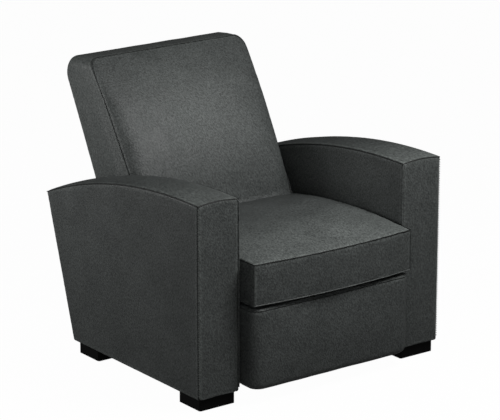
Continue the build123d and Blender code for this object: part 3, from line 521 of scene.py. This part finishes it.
def sew(name, tree, lines, material, body, **sizes):
    """Runs a sewing tree along lines of points and leaves one plain mesh that rides on the body."""
    verts, edges = [], []
    for line in lines:
        edges += [(len(verts) + k, len(verts) + k + 1) for k in range(len(line) - 1)]
        verts += [tuple(p) for p in line]
    mesh = bpy.data.meshes.new(name)
    mesh.from_pydata(verts, edges, [])
    piece = placed(name, mesh)
    maker = piece.modifiers.new("sewing", "NODES")
    maker.node_group = tree
    chosen = {"Material": material, **sizes}
    for socket in tree.interface.items_tree:
        if socket.in_out == "INPUT" and socket.name in chosen:
            maker[socket.identifier] = chosen[socket.name]
    applied(piece)
    # Sewn pieces count as 12 mm from a seam: in leather that gives no painted seam shade and a faint painted
    # highlight.
    mark(piece.data, "seam_distance", 0.012)
    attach(piece, body)
    return piece


# The welts' leather is painted lighter than the rest, as a highlight.
hide_welt_painted_light = leather("charcoal leather, rubbed on the welts", tint="525554")
waxed_thread, tree, place = mapped_material("waxed grey thread")
twist = speckled(tree, place, 0.8 * mm, 2.0)
surfaced(waxed_thread, between(tree, twist, "484b4a", "747876"), 0.55, {"Specular IOR Level": 0.3})

# Near-black leather for tubes laid in the seams: painted shade in their folds.
hide_fold_shade = leather("charcoal leather, in the folds of the seams", tint="161817")
# Darker leather for the seat's corner cords and the back's seam welt: painted shade along those seams.
hide_cord_shade = leather("charcoal leather, painted darker as seam shade on cords", tint="3a3d3c")

arm_shade_lines, facing_welts, arm_stitches = [], [], []
welt_x, welt_depth = arm_inner + 0.0014, 0.0022
welt_top = arch(0) - 0.0030
welt_round = 0.010          # radius of the bend at the welt's upper end
for side in (-1, 1):
    for face_x, inward in ((arm_outer, -1), (arm_inner, 1)):
        arm_shade_lines.append([at(side * (face_x + inward * arch_in), depth, arch(depth) - arch_in)
                          for depth in np.linspace(corner_in, arch_rear, 120)])
    across_front = []
    for u in np.linspace(1, 0.05, 30):
        wave = 0.0007 * wrinkle((arm_x(u), 0, 0), 0.02, 5 + side)
        across_front.append(at(side * arm_x(u), arch_in, arch(0) - arch_in + arm_rise(u) + wave))
    arm_shade_lines.append(across_front)
    down_facing = [at(side * (welt_x + 0.014), welt_depth, welt_top)]
    for turn in np.radians((0, 20, 45, 70)):
        down_facing.append(at(side * (welt_x + welt_round * (1 - math.sin(turn))), welt_depth,
                              welt_top - welt_round * (1 - math.cos(turn))))
    for level in np.linspace(welt_top - welt_round, arm_floor + 0.012, 60):
        sway = 0.0004 * wrinkle((0, 0, level), 0.03, 9 + side)
        down_facing.append(at(side * (welt_x + sway), welt_depth, level))
    facing_welts.append(down_facing)
    arm_stitches.append([at(side * (arm_outer - corner_in + 0.0010), corner_in - 0.0010, level)
                         for level in np.linspace(arm_floor + 0.015, arch(0) - 0.010, 150)])
sew("arm_seam_fold_shade", welt_tree, arm_shade_lines, hide_fold_shade, "base", Radius=0.0015)
sew("arm_facing_welts", welt_tree, facing_welts, hide_welt_painted_light, "base", Radius=0.0019)
sew("arm_stitches", stitch_tree, arm_stitches, waxed_thread, "base")

# ---- Seat cushion ----
# A loose foam cushion in its own leather cover: a crowned top, a boxing band all round, a bowed
# front, and sewn corners. The cover is blown up like a filled one, then its seams are drawn in.
seat_half, seat_floor, seat_seam = 0.2985, 0.3135, 0.442
seat_overhang, seat_nose, seat_fall, seat_fill = 0.055, 0.019, 0.020, 0.037
lean_angle = math.radians(31.07)
lean_level, lean_depth = 0.480, 0.556          # a point on the line of the back's front seams


def front_line(level):
    """Depth of the back's front seams at a level."""
    return lean_depth + (level - lean_level) * math.tan(lean_angle)


def move_to(piece, spots):
    """Puts the piece's points at these places."""
    piece.data.vertices.foreach_set("co", spots.astype(np.float32).ravel())
    piece.data.update()


def dense(corners, step=0.002, closed=False):
    """Points every step along a line through the corners."""
    ends = list(corners) + ([corners[0]] if closed else [])
    runs = []
    for a, b in zip(ends[:-1], ends[1:]):
        a, b = np.array(a), np.array(b)
        count = max(1, int(np.linalg.norm(b - a) / step))
        runs.append(a + (b - a) * np.linspace(0, 1, count, endpoint=False)[:, None])
    return np.concatenate(runs + [np.array([ends[-1]])])


def seam_map(piece, seams):
    """Distance of each point of the piece to the nearest seam, and where along the seams that is."""
    spots = np.concatenate(seams)
    tree = KDTree(len(spots))
    for k, spot in enumerate(spots):
        tree.insert(spot, k)
    tree.balance()
    found = [tree.find(spot) for spot in points_of(piece.data)]
    return np.array([f[2] for f in found]), spots[[f[1] for f in found]]


def stuffed(piece, held, pressure, reach):
    """Blows the closed cover up from inside with its held points still; no point moves past reach."""
    before = points_of(piece.data)
    pins = piece.vertex_groups.new(name="sewn")
    pins.add([int(k) for k in np.flatnonzero(held)], 1.0, "REPLACE")
    cloth = piece.modifiers.new("cover", "CLOTH")
    for name, value in (("quality", 5), ("mass", 0.3), ("tension_stiffness", 18), ("bending_stiffness", 1.2),
                        ("compression_stiffness", 18), ("use_pressure", True),
                        ("uniform_pressure_force", pressure), ("vertex_group_mass", "sewn")):
        setattr(cloth.settings, name, value)
    cloth.settings.effector_weights.gravity = 0
    cloth.collision_settings.use_collision = False
    for step in range(1, 21):
        scene.frame_set(step)
    after = points_of(shaped(piece))
    piece.modifiers.clear()
    piece.vertex_groups.clear()
    scene.frame_set(1)
    move = after - before
    length = np.maximum(np.linalg.norm(move, axis=1, keepdims=True), 1e-9)
    move_to(piece, before + move * np.minimum(1.0, reach / length))


def sewn(piece, seams, depth, width, pucker, seed):
    """Sharpens the seams, draws them in, gathers the leather beside them and notes the distance."""
    gap, nearest = seam_map(piece, seams)
    spots = points_of(piece.data)
    spots += (nearest - spots) * np.exp(-(gap / 0.0045) ** 2)[:, None]
    gap = np.linalg.norm(spots - nearest, axis=1)
    move_to(piece, spots)
    normals = np.array([tuple(v.normal) for v in piece.data.vertices])
    push = -depth * np.exp(-(gap / width) ** 2)
    for k in np.flatnonzero(gap < 0.045):
        gather = gathered(gap[k], 0.014)
        push[k] += pucker * gather * wrinkle(nearest[k], 0.012, seed)
        push[k] += 0.5 * pucker * gather * wrinkle(spots[k], 0.010, seed + 3)
    for k in range(len(spots)):
        push[k] += waves(spots[k], gap[k], 0.0012, 0.03, 0.075, seed + 9)
    move_to(piece, spots + normals * push[:, None])
    mark(piece.data, "seam_distance", gap)
    piece.data.shade_smooth()


def stuffed_cover(name, front, rear, voxel, seams, held, pressure, reach, *seam_look):
    """A closed cover of small squares, blown up and then sewn; seam_look goes on to sewn.

    held(gap, spots) marks the points that stay put, by their distance to a seam and their places.
    """
    piece = closed_cover(name, front, rear)
    even = piece.modifiers.new("even", "REMESH")
    even.mode = "VOXEL"
    even.voxel_size = voxel
    applied(piece)
    stuffed(piece, held(seam_map(piece, seams)[0], points_of(piece.data)), pressure, reach)
    finer = piece.modifiers.new("finer", "SUBSURF")
    finer.levels = finer.render_levels = 1
    applied(piece)
    sewn(piece, seams, *seam_look)
    return piece


def seat_front(x):
    """Depth of the cushion's front edge at a place across it."""
    return -seat_overhang - seat_nose * (1 - (x / seat_half) ** 2)


def seat_outline(u, v, level):
    """Place in the cushion's plan, from the front at v = 0 to the back at v = 1."""
    x = seat_half * (2 * u - 1)
    front, rear = seat_front(x), front_line(level) - 0.007
    return at(x, front + (rear - front) * v, level)


def seat_level(v):
    """Level of the cushion's top seam, which falls towards the back."""
    return seat_seam - seat_fall * v ** 2.4


def seat_crown(u, v):
    """How far the filling lifts the top above its seam."""
    full = math.sin(min(1.0, v / 0.45) * math.pi / 2) ** 0.8
    if v > 0.45:
        full = 1 - 0.7 * ((v - 0.45) / 0.55) ** 2
    return seat_fill * full * (1 - abs(2 * u - 1) ** 4) ** 0.4


us = 0.5 - 0.5 * np.cos(np.linspace(0, math.pi, 71))
vs = np.linspace(0, 1, 61) ** 1.3
top = np.array([[seat_outline(u, v, seat_level(v)) + (0, 0, seat_crown(u, v)) for v in vs] for u in us])
bottom = np.array([[seat_outline(u, v, seat_floor) for v in vs] for u in us])
rim, low_rim = ([seat_outline(u, 0, level) for u in np.linspace(0, 1, 31)]
                for level in (seat_seam, seat_floor))
sides = [[seat_outline(u, v, seat_level(v)) for v in np.linspace(0, 1, 21)] for u in (0, 1)]
top_loop = [*sides[0][::-1], *rim[1:-1], *sides[1]]
low_loop = [seat_outline(0, 1, seat_floor), *low_rim, seat_outline(1, 1, seat_floor)]
seat_seams = [dense(top_loop, closed=True), dense(low_loop, closed=True)]
seat_seams += [dense([rim[k], low_rim[k]]) for k in (0, -1)]
# Its seams, its underside and the face against the back are held.
seat = stuffed_cover("seat_cushion_cover", top, bottom, 0.006, seat_seams, lambda gap, spots: (
    (gap < 0.005) | (spots[:, 2] < seat_floor + 0.004)
    | (spots[:, 1] > front_y + front_line(0.38) - 0.03)), 4, 0.008, 0.0010, 0.0024, 0.0018, 31)
# A highlight is painted across the front of the cushion's top, fading to the rear.
spots = points_of(seat.data)
on_top = spots[:, 2] > seat_seam - 0.002
highlighted(seat, 0.68 * np.exp(-((spots[:, 1] - front_y + 0.02) / 0.20) ** 2) * on_top)
finish_cover(seat, "seat_carriage", hide_flat, ["seat_cushion"])

seat_centre = at(0, 0.2, 0.38)
# Near-black tubes along the top seams stand as painted shade in their folds; the welt at the foot is painted
# lighter.
front_fold = [p + (0, 0, 0.0006 * wrinkle(p, 0.03, 35)) for p in dense(rim, 0.004)]
left_fold, right_fold = ([seat_outline(u, v, seat_level(v)) for v in np.linspace(0, 0.9, 60)] for u in (0, 1))
seat_shade_lines = [[*left_fold[::-1], *front_fold, *right_fold]]
corner_shade_lines = [dense([rim[k], low_rim[k]], 0.004) for k in (0, -1)]
low_welt = [[p - 0.0010 * np.sign(p - seat_centre) for p in low_loop]]          # bedded in its seam
sew("seat_seam_fold_shade", welt_tree, seat_shade_lines, hide_fold_shade, "seat_carriage", Radius=0.0013)
sew("seat_corner_fold_shade", welt_tree, corner_shade_lines, hide_cord_shade, "seat_carriage", Radius=0.0012)
sew("seat_bottom_welt", welt_tree, low_welt, hide_welt_painted_light, "seat_carriage", Radius=0.0020)

# ---- Footrest panel ----
# A padded board that hangs in front of the seat and swings out. One piece of leather is drawn round
# its sides and foot over soft rolls, and wrapped to the rear of the board. A strip closes its top.
panel_half, panel_low, panel_high = 0.3000, 0.0435, 0.3010
panel_face, panel_fill = -0.056, 0.007
panel_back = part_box("footrest_board")[1][1] - front_y + 0.0006
side_roll, foot_roll, top_roll = 0.032, 0.020, 0.006


def panel_span(level):
    """Half width of the panel at a level: its corners are rounded."""
    low, high = 0.024, 0.012
    foot, head = max(0.0, low - (level - panel_low)), max(0.0, high - (panel_high - level))
    return panel_half - low + math.sqrt(low ** 2 - foot ** 2) - high + math.sqrt(high ** 2 - head ** 2)


def panel_depth(x, level):
    """Depth of the panel's padded face, which rolls back at its edges."""
    back = 0.0
    edges = ((panel_span(level) - abs(x), side_roll), (level - panel_low, foot_roll),
             (panel_high - level, top_roll))
    for gap, roll in edges:
        back += roll - math.sqrt(roll ** 2 - max(0.0, roll - max(0.0, gap)) ** 2)
    u, v = abs(x) / panel_half, 2 * (level - panel_low) / (panel_high - panel_low) - 1
    return panel_face + min(back, side_roll) - panel_fill * (1 - min(1, u) ** 3) * (1 - abs(v) ** 3)


levels = [panel_low + (panel_high - panel_low) * v for v in stations(0.252, 0.008)]
places = [[(panel_span(level) * (2 * u - 1), level) for level in levels] for u in stations(0.597, 0.009)]
panel_front = np.array([[at(x, panel_depth(x, level), level) for x, level in row] for row in places])
panel_rear = np.array([[at(x, panel_back, level) for x, level in row] for row in places])
strip_level = panel_high - 0.0062
strip_line = [at(-panel_half, panel_back - 0.004, strip_level)]
for u in stations(0.597, 0.009):
    x = panel_span(strip_level) * (2 * u - 1)
    strip_line.append(at(x, panel_depth(x, strip_level), strip_level + 0.0005 * wrinkle((x, 0, 0), 0.04, 3)))
strip_line.append(at(panel_half, panel_back - 0.004, strip_level))
panel_seams = [dense(strip_line)]
# The strip's seam, a border and all behind the padded face are held.
panel = stuffed_cover(
    "footrest_panel_cover", panel_front, panel_rear, 0.005, panel_seams, lambda gap, spots: (
        (gap < 0.004) | (np.minimum(panel_half - np.abs(spots[:, 0]), spots[:, 2] - panel_low) < 0.035)
        | (spots[:, 1] > front_y + panel_face + 0.010)), 3, 0.004, 0.0018, 0.0030, 0.0010, 47)
finish_cover(panel, "footrest", hide_upright, ["footrest_pad", "footrest_board"])
top_welt = [[p + (0, 0.0002, 0.0014) for p in strip_line]]
sew("footrest_top_welt", welt_tree, top_welt, hide_welt_painted_light, "footrest", Radius=0.0013)

# ---- Back ----
# The back's front is one crowned leather panel over foam. A band sewn to its front seam runs up the
# left side, over the rounded top and down the right side; a plain panel closes the rear.
back_low, back_top, back_top_front = 0.338, 0.8970, 0.8162
rear_angle = math.radians(24.5)
rear_corner = (0.9554, 0.8775)          # depth and level where the rear face would meet the top
rear_low = 0.226
top_corner = 0.038
back_foot_half, back_head_half = 0.283, 0.299
back_fill, back_bow = 0.038, 0.005


def seam_line(level):
    """Depth of the back's front seams: they bow forward a little and are drawn back at the top."""
    share = np.clip((level - lean_level) / (back_top - lean_level), 0, 1)
    return (front_line(level) - back_bow * np.sin(math.pi * share ** 1.6)
            + (back_top_front - front_line(back_top)) * share ** 6)


def back_half(level):
    """Half width of the back at a level."""
    return back_foot_half + (back_head_half - back_foot_half) / (back_top - back_low) * (level - back_low)


def rear_line(level, inset=0.0):
    """Depth of the back's rear face at a level, or of a plane drawn in from it."""
    return rear_corner[0] + (level - rear_corner[1]) * math.tan(rear_angle) - inset / math.cos(rear_angle)


def back_span(level):
    """Half width of the back's front panel at a level: its top corners are rounded."""
    head = max(0.0, top_corner - (back_top - level))
    return back_half(level) - top_corner + math.sqrt(top_corner ** 2 - head ** 2)


def back_crown(u, level):
    """How far the front panel stands out of its seams' plane."""
    share = min(1.0, max(0.0, (level - 0.435) / 0.150))
    rise = 0.02 + 0.98 * math.sin(share * math.pi / 2)
    head = 0.1 + 0.9 * math.sin(min(1.0, (back_top - level) / 0.24) * math.pi / 2)
    return back_fill * rise * head * (1 - abs(2 * u - 1) ** 5) ** 0.4


us = 0.5 - 0.5 * np.cos(np.linspace(0, math.pi, 91))
vs = np.concatenate([np.linspace(0, 0.93, 60), [0.95, 0.965, 0.978, 0.988, 0.995, 0.999, 1]])
back_front = np.empty((len(us), len(vs), 3))
back_inner = np.empty_like(back_front)
out_y, out_z = -math.cos(lean_angle), math.sin(lean_angle)
levels = [back_low + (back_top - 0.001 - back_low) * v for v in vs]
for i, u in enumerate(us):
    for j, level in enumerate(levels):
        x = back_span(level) * (2 * u - 1)
        stand = back_crown(u, level)
        back_front[i, j] = at(x, seam_line(level) + out_y * stand, level + out_z * stand)
        inner_level = min(level, back_top - 0.022)
        back_inner[i, j] = at(x * 0.965, rear_line(inner_level, 0.0730), inner_level)
left_side = [at(-back_span(level), seam_line(level), level) for level in levels]
right_side = [at(back_span(level), seam_line(level), level) for level in reversed(levels)]
back_seams = [dense(left_side + right_side)]
# The seams, all behind their plane and the foot, which the seat hides, are held.
back = stuffed_cover("back_front_cover", back_front, back_inner, 0.006, back_seams, lambda gap, spots: (
    (gap < 0.006) | ((spots[:, 1] - front_y - seam_line(spots[:, 2])) * math.cos(lean_angle) > 0.001)
    | (spots[:, 2] < 0.45)), 4, 0.0025, 0.0016, 0.004, 0.0012, 61)
# A highlight is painted in the middle of the back's front panel.
spots = points_of(back.data)
highlighted(back, 0.55 * np.exp(-(spots[:, 0] / 0.22) ** 2 - ((spots[:, 2] - 0.72) / 0.15) ** 2))
finish_cover(back, "back", hide_upright, ["back_pad"])
# The back's seam welt is painted darker, as shade along the seam.
sew("back_seam_welt", welt_tree, back_seams, hide_cord_shade, "back", Radius=0.0014)

top_fall = math.atan2(back_top - rear_corner[1], rear_corner[0] - back_top_front)
top_round, rear_round = 0.036, 0.026
top_turn = math.radians(90) + rear_angle - top_fall
tangent = top_round * math.tan(top_turn / 2)
top_run = (rear_corner[0] - back_top_front) / math.cos(top_fall) - tangent
rear_high = rear_corner[1] - tangent * math.cos(rear_angle)
corner_level = rear_round * math.cos(rear_angle)


def top_profile(t):
    """Depth and level of the band's crest at a share of its width: along the top, then round its rear."""
    run = t * (top_run + top_round * top_turn)
    flat = min(run, top_run)
    turned = max(0.0, run - top_run) / top_round
    back = flat * math.cos(top_fall) + top_round * (math.sin(top_fall + turned) - math.sin(top_fall))
    fall = flat * math.sin(top_fall) + top_round * (math.cos(top_fall) - math.cos(top_fall + turned))
    return back_top_front + back, back_top - fall


half_path = [(share, 0.0, None) for share in np.linspace(0, 1, 66)[:-1]]
half_path += [(1.0, turn, None) for turn in np.radians(np.linspace(0, 90, 13))]
band_path = ([(-1, *step) for step in half_path]
             + [(0, 1.0, math.pi / 2, place) for place in np.linspace(-1, 1, 72)[1:-1]]
             + [(1, *step) for step in reversed(half_path)])


def band_point(step, t):
    """Point of the band at a step of its path, up one side and over the top, and a share of its width."""
    side, share, turn, place = step
    foot = np.array((front_line(back_low) + (rear_line(back_low) - front_line(back_low)) * t, back_low))
    crest = np.array(top_profile(t))
    height = np.linalg.norm(crest - foot)
    corner = top_corner + (rear_round - top_corner) * t
    depth, level = foot + (crest - foot) * (share * (height - corner) + corner * math.sin(turn)) / height
    pull = corner * (1 - math.cos(turn))
    half = back_half(level) + 0.006 * t
    x = side * (half - pull) if place is None else place * (half - corner)
    straight = np.interp(level, (back_low, back_top), (front_line(back_low), back_top_front))
    return at(x, depth + (seam_line(level) - straight) * (1 - t), level)


ts = stations(0.16, 0.006)
band = np.array([[band_point(step, t) for t in ts] for step in band_path])
outward = np.cross(np.gradient(band, axis=0), np.gradient(band, axis=1))
outward /= np.linalg.norm(outward, axis=2, keepdims=True)
outward *= np.sign(outward[0, 0, 0]) * -1
gaps = [np.linalg.norm(band - edge, axis=2) for edge in (band[:, :1], band[:, -1:])]
nearest = np.minimum(*gaps)
band_roll = 0.006
height = np.zeros(nearest.shape)
for gap in gaps:
    height -= rolled(gap, band_roll, band_roll * 0.82)
sides = np.array([max(0.0, 1 - step[1] / 0.8) if step[3] is None else 0.0 for step in band_path])
height += (0.003 + 0.008 * sides[:, None] ** 0.5) * np.minimum(1, nearest / 0.05)
for i, j in np.ndindex(height.shape):
    point, gap = band[i, j], nearest[i, j]
    height[i, j] += 0.0009 * gathered(gap, 0.012) * wrinkle(point, 0.012, 71)
    height[i, j] += waves(point, gap, 0.0010, 0.03, 0.08, 73)
piece = closed_cover("back_band_cover", band + outward * height[..., None], band - outward * 0.007, nearest)
# A faint highlight is painted evenly over the whole band.
highlighted(piece, 0.35)
finish_cover(piece, "back", hide_side, ["back_left_boxing", "back_right_boxing", "back_top_band"])


def rear_pattern(u, v):
    level = rear_low + (rear_high - rear_low) * v
    k = min(1.0, max(0.0, (rear_high - level) / corner_level))
    pull = rear_round * (1 - math.sqrt(max(0.0, 1 - (1 - k) ** 2)))
    return at((back_half(level) - pull + 0.004) * (2 * u - 1), rear_line(level), level)


rear_turn = (0.006, 55)
piece = panel_cover("back_rear_cover", rear_pattern,
                    everywhere(0, math.cos(rear_angle), -math.sin(rear_angle)),
                    stations(0.58, 0.009), stations(0.65, 0.009),
                    (rear_turn, rear_turn, under_turn, rear_turn), 0.002, 0.0007, 83, thick=0.012)
finish_cover(piece, "back", hide_side, ["back_outer_panel"])

# ---- Seat deck ----
# Black woven cloth is stretched over the zigzag springs, folded down over the front and side rails
# and stapled below, so that no bare wood shows beside the cushion.
def woven(name, pitch, dark, light):
    """Plain-woven cloth whose threads run across and along the chair, a pitch apart."""
    made, tree, place = mapped_material(name)
    split = add(tree, "SeparateXYZ", {0: place}).outputs
    cross = [calc(tree, "SINE", calc(tree, "MULTIPLY", run, 2 * math.pi / pitch))
             for run in (split["X"], calc(tree, "ADD", split["Y"], split["Z"]))]
    thread = remapped(tree, calc(tree, "MULTIPLY", *cross), (-1.0, 1.0), (0.0, 1.0))
    fuzz = speckled(tree, place, 3 * mm, 3.0)
    tone = between(tree, calc(tree, "MULTIPLY", thread, fuzz), dark, light)
    return surfaced(made, tone, 0.9, {"Specular IOR Level": 0.2, "Sheen Weight": 0.15},
                    (thread, 0.6, 0.4 * mm))


# The weave is drawn 2.4 mm across, twice its real size, so that it shows.
deck_weave = woven("black woven deck cloth", 2.4 * mm, "0b0b0c", "2a2b2c")
deck_low, deck_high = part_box("seat_deck_cloth")
rail_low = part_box("seat_side_rails")[0][2]
deck_half, deck_front, deck_rear = deck_high[0] + 0.0014, deck_low[1] - 0.0014, deck_high[1]
# The skirt is real deck cloth, and it also acts as painted shade: black where the rails would lie in shade
# beside the cushion.
skirt = deck_high[2] - rail_low - 0.004
cloth_width = 2 * (deck_half + skirt)
cloth_thick = 0.0011
bends = (0, skirt, skirt + 2 * deck_half, cloth_width)
runs = [*np.linspace(0, skirt, 6), *np.linspace(*bends[1:3], 60)[1:-1], *np.linspace(*bends[2:], 6)]
deck_outer = np.empty((len(runs), 40, 3))
deck_inner = np.empty_like(deck_outer)
for i, s in enumerate(runs):
    x = np.interp(s, bends, (-deck_half, -deck_half, deck_half, deck_half))
    fall = np.interp(s, bends, (skirt, 0, 0, skirt))
    for j, y in enumerate(np.linspace(deck_front, deck_rear, 40)):
        tuck = 0.0008 * wrinkle((x, y, fall), 0.05, 91) if fall else 0.0
        level = deck_high[2] - 0.0002 - fall
        deck_outer[i, j] = (x + math.copysign(abs(tuck), x), y, level)
        deck_inner[i, j] = (x * (1 - cloth_thick / deck_half), y, level - (0.0 if fall else cloth_thick))
deck = closed_cover("seat_deck_cover", deck_outer, deck_inner)
valance_outer = np.array([[(x, deck_front - 0.0010 - 0.0006 * abs(wrinkle((x, fall, 0), 0.04, 93)),
                            deck_high[2] - 0.0006 - fall) for fall in np.linspace(0, skirt, 6)]
                          for x in np.linspace(-deck_half, deck_half, 60)])
valance = closed_cover("seat_deck_valance", valance_outer, valance_outer + (0, cloth_thick, 0))
for piece in (deck, valance):
    piece.data.materials.clear()
    piece.data.materials.append(deck_weave)
    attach(piece, "seat_carriage")
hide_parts("seat_deck_cloth")

# ---- Back webbing ----
# Five rubber-cored webbing straps are stapled across the back's posts and carry its foam. They are
# laid by one node tree, each bowed a little to the rear by the load.
webbing_weave = woven("black ribbed webbing", 3.5 * mm, "0c0c0c", "232425")
web_low, web_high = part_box("back_webbing")
strap_high, strap_thick, strap_count = 0.050, 0.0024, 5
strap_tree, given = sewn_tree("webbing straps", {"Length": web_high[0] - web_low[0], "Width": strap_high,
                                                 "Thickness": strap_thick, "Bow": 0.0008, "Lean": rear_angle})
outline = add(strap_tree, "CombineXYZ",
              {"X": given["Length"], "Y": given["Thickness"], "Z": given["Width"]})
strip = add(strap_tree, "GeometryNodeMeshCube",
            {"Size": outline, "Vertices X": 40, "Vertices Y": 2, "Vertices Z": 6})
along = add(strap_tree, "SeparateXYZ", {0: add(strap_tree, "GeometryNodeInputPosition")})
swing = calc(strap_tree, "MULTIPLY", calc(strap_tree, "DIVIDE", along, given["Length"]), math.pi)
drop = calc(strap_tree, "MULTIPLY", calc(strap_tree, "COSINE", swing), given["Bow"])
push = add(strap_tree, "CombineXYZ", {"Y": drop})
bowed = add(strap_tree, "GeometryNodeSetPosition", {"Geometry": strip, "Offset": push})
tilt = calc(strap_tree, "MULTIPLY", given["Lean"], -1.0)
turned = add(strap_tree, "CombineXYZ", {"X": tilt})
end_tree(strap_tree, given, add(strap_tree, "GeometryNodeInstanceOnPoints",
                                {"Points": given["Seams"], "Instance": bowed, "Rotation": turned}))
strap_levels = np.linspace(web_low[2] + strap_high / 2, web_high[2] - strap_high / 2, strap_count)
strap_face = web_low[1] + 0.0016
strap_spots = [(0.0, strap_face + (level - web_low[2]) * math.tan(rear_angle), level)
               for level in strap_levels]
straps = sew("back_straps", strap_tree, [strap_spots], webbing_weave, "back",
             Length=float(web_high[0] - web_low[0]))
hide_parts("back_webbing")

# ---- Timber frame ----
# Planed beech rails, posts and dowels, glued and screwed; the boards of the arms are beech ply. The
# grain runs along each piece, so there is one finish for each direction.
def timber(name, along, pale, dark, roughness, shine=0.35):
    """Planed wood whose grain runs along axis 0, 1 or 2."""
    made, tree, place = mapped_material(name)

    def grain(thick, long, *rest):
        """Noise whose lumps are drawn out along the grain."""
        scale = [1 / thick] * 3
        scale[along] = 1 / long
        drawn = add(tree, "Mapping", {"Vector": place, "Scale": scale})
        return speckled(tree, drawn, 1.0, *rest)

    year, fleck = grain(9 * mm, 160 * mm, 4.0, 0.5, 0.7), grain(0.8 * mm, 7 * mm, 2.0)
    ray = remapped(tree, fleck, (0.55, 0.75), (1.0, 0.7))
    wood = between(tree, year, pale, dark)
    colour = add(tree, "VectorMath", {0: wood, "Scale": ray}, operation="SCALE")
    return surfaced(made, colour, roughness, {"Specular IOR Level": shine}, (fleck, 0.3, 0.2 * mm))


def dress(material, *nodes):
    """Gives CAD nodes that keep their own shape this material."""
    for node in nodes:
        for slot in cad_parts[node].material_slots:
            slot.material = material


grain_across, grain_along, grain_up = (
    timber(f"planed beech, grain {word}", axis, "c9a06c", "9a7040", 0.62)
    for axis, word in enumerate(("across", "front to rear", "upright")))
dress(grain_across, "front_base_rail", "rear_base_rail", "seat_front_rail", "seat_rear_rail", "rail_dowels",
      "back_top_rail", "back_bottom_rail")
dress(grain_along, "seat_side_rails", "left_arm_bottom_board", "right_arm_bottom_board", "left_arm_top_rail",
      "right_arm_top_rail")
dress(grain_up, "left_arm_posts", "right_arm_posts", "back_posts")

# ---- Feet ----
# Four rectangular beech blocks, stained black and lacquered satin. Their grain runs across the
# chair, and each is held up by two screws.
stained = timber("black-stained beech", 0, "0a0a0a", "050505", 0.5, shine=0.12)
dress(stained, "front_feet", "rear_feet")

# ---- Recliner mechanism ----
# Flat links, plates and brackets, blanked from sheet steel and powder-coated black; their pins,
# screws and bolts are zinc plated.
powder_coat, tree, place = mapped_material("black powder-coated steel")
peel = speckled(tree, place, 1.5 * mm, 2.0)
scuff = speckled(tree, place, 35 * mm, 6.0, 0.7)
gloss = remapped(tree, scuff, (0.0, 1.0), (0.32, 0.58))
surfaced(powder_coat, between(tree, scuff, "161617", "28292a"), gloss, {}, (peel, 0.25, 0.15 * mm))


def plated(name, light, dark, patch, low, high):
    """Bare or plated metal with patches of slightly different tone and polish."""
    made, tree, place = mapped_material(name)
    spangle = speckled(tree, place, patch, 4.0, 0.6)
    polish = remapped(tree, spangle, (0.0, 1.0), (low, high))
    return surfaced(made, between(tree, spangle, light, dark), polish, {"Metallic": 1.0})


zinc = plated("bright zinc plate", "b9bcc0", "8d9296", 6 * mm, 0.22, 0.42)
dress(powder_coat, "base_plates", "front_swing_links", "rear_swing_links", "cross_tube", "seat_plates",
      "footrest_rear_links", "footrest_front_links", "footrest_lower_links", "footrest_upper_links",
      "footrest_brackets", "back_brackets")
dress(zinc, "base_pivot_pins", "base_plate_screws", "foot_screws", "bracket_screws", "seat_pivot_pins",
      "seat_plate_screws", "rear_link_pins", "front_link_pins", "footrest_bracket_pins", "back_bolts")

# ---- Seat springs ----
# Five zigzag springs of oiled, hard-drawn wire, each one bent wire. They hook into steel clips on
# the front and rear rails.
spring_wire = plated("oiled spring wire", "6b665f", "3c3a37", 9 * mm, 0.25, 0.45)
dress(spring_wire, "seat_springs", "seat_spring_clips")
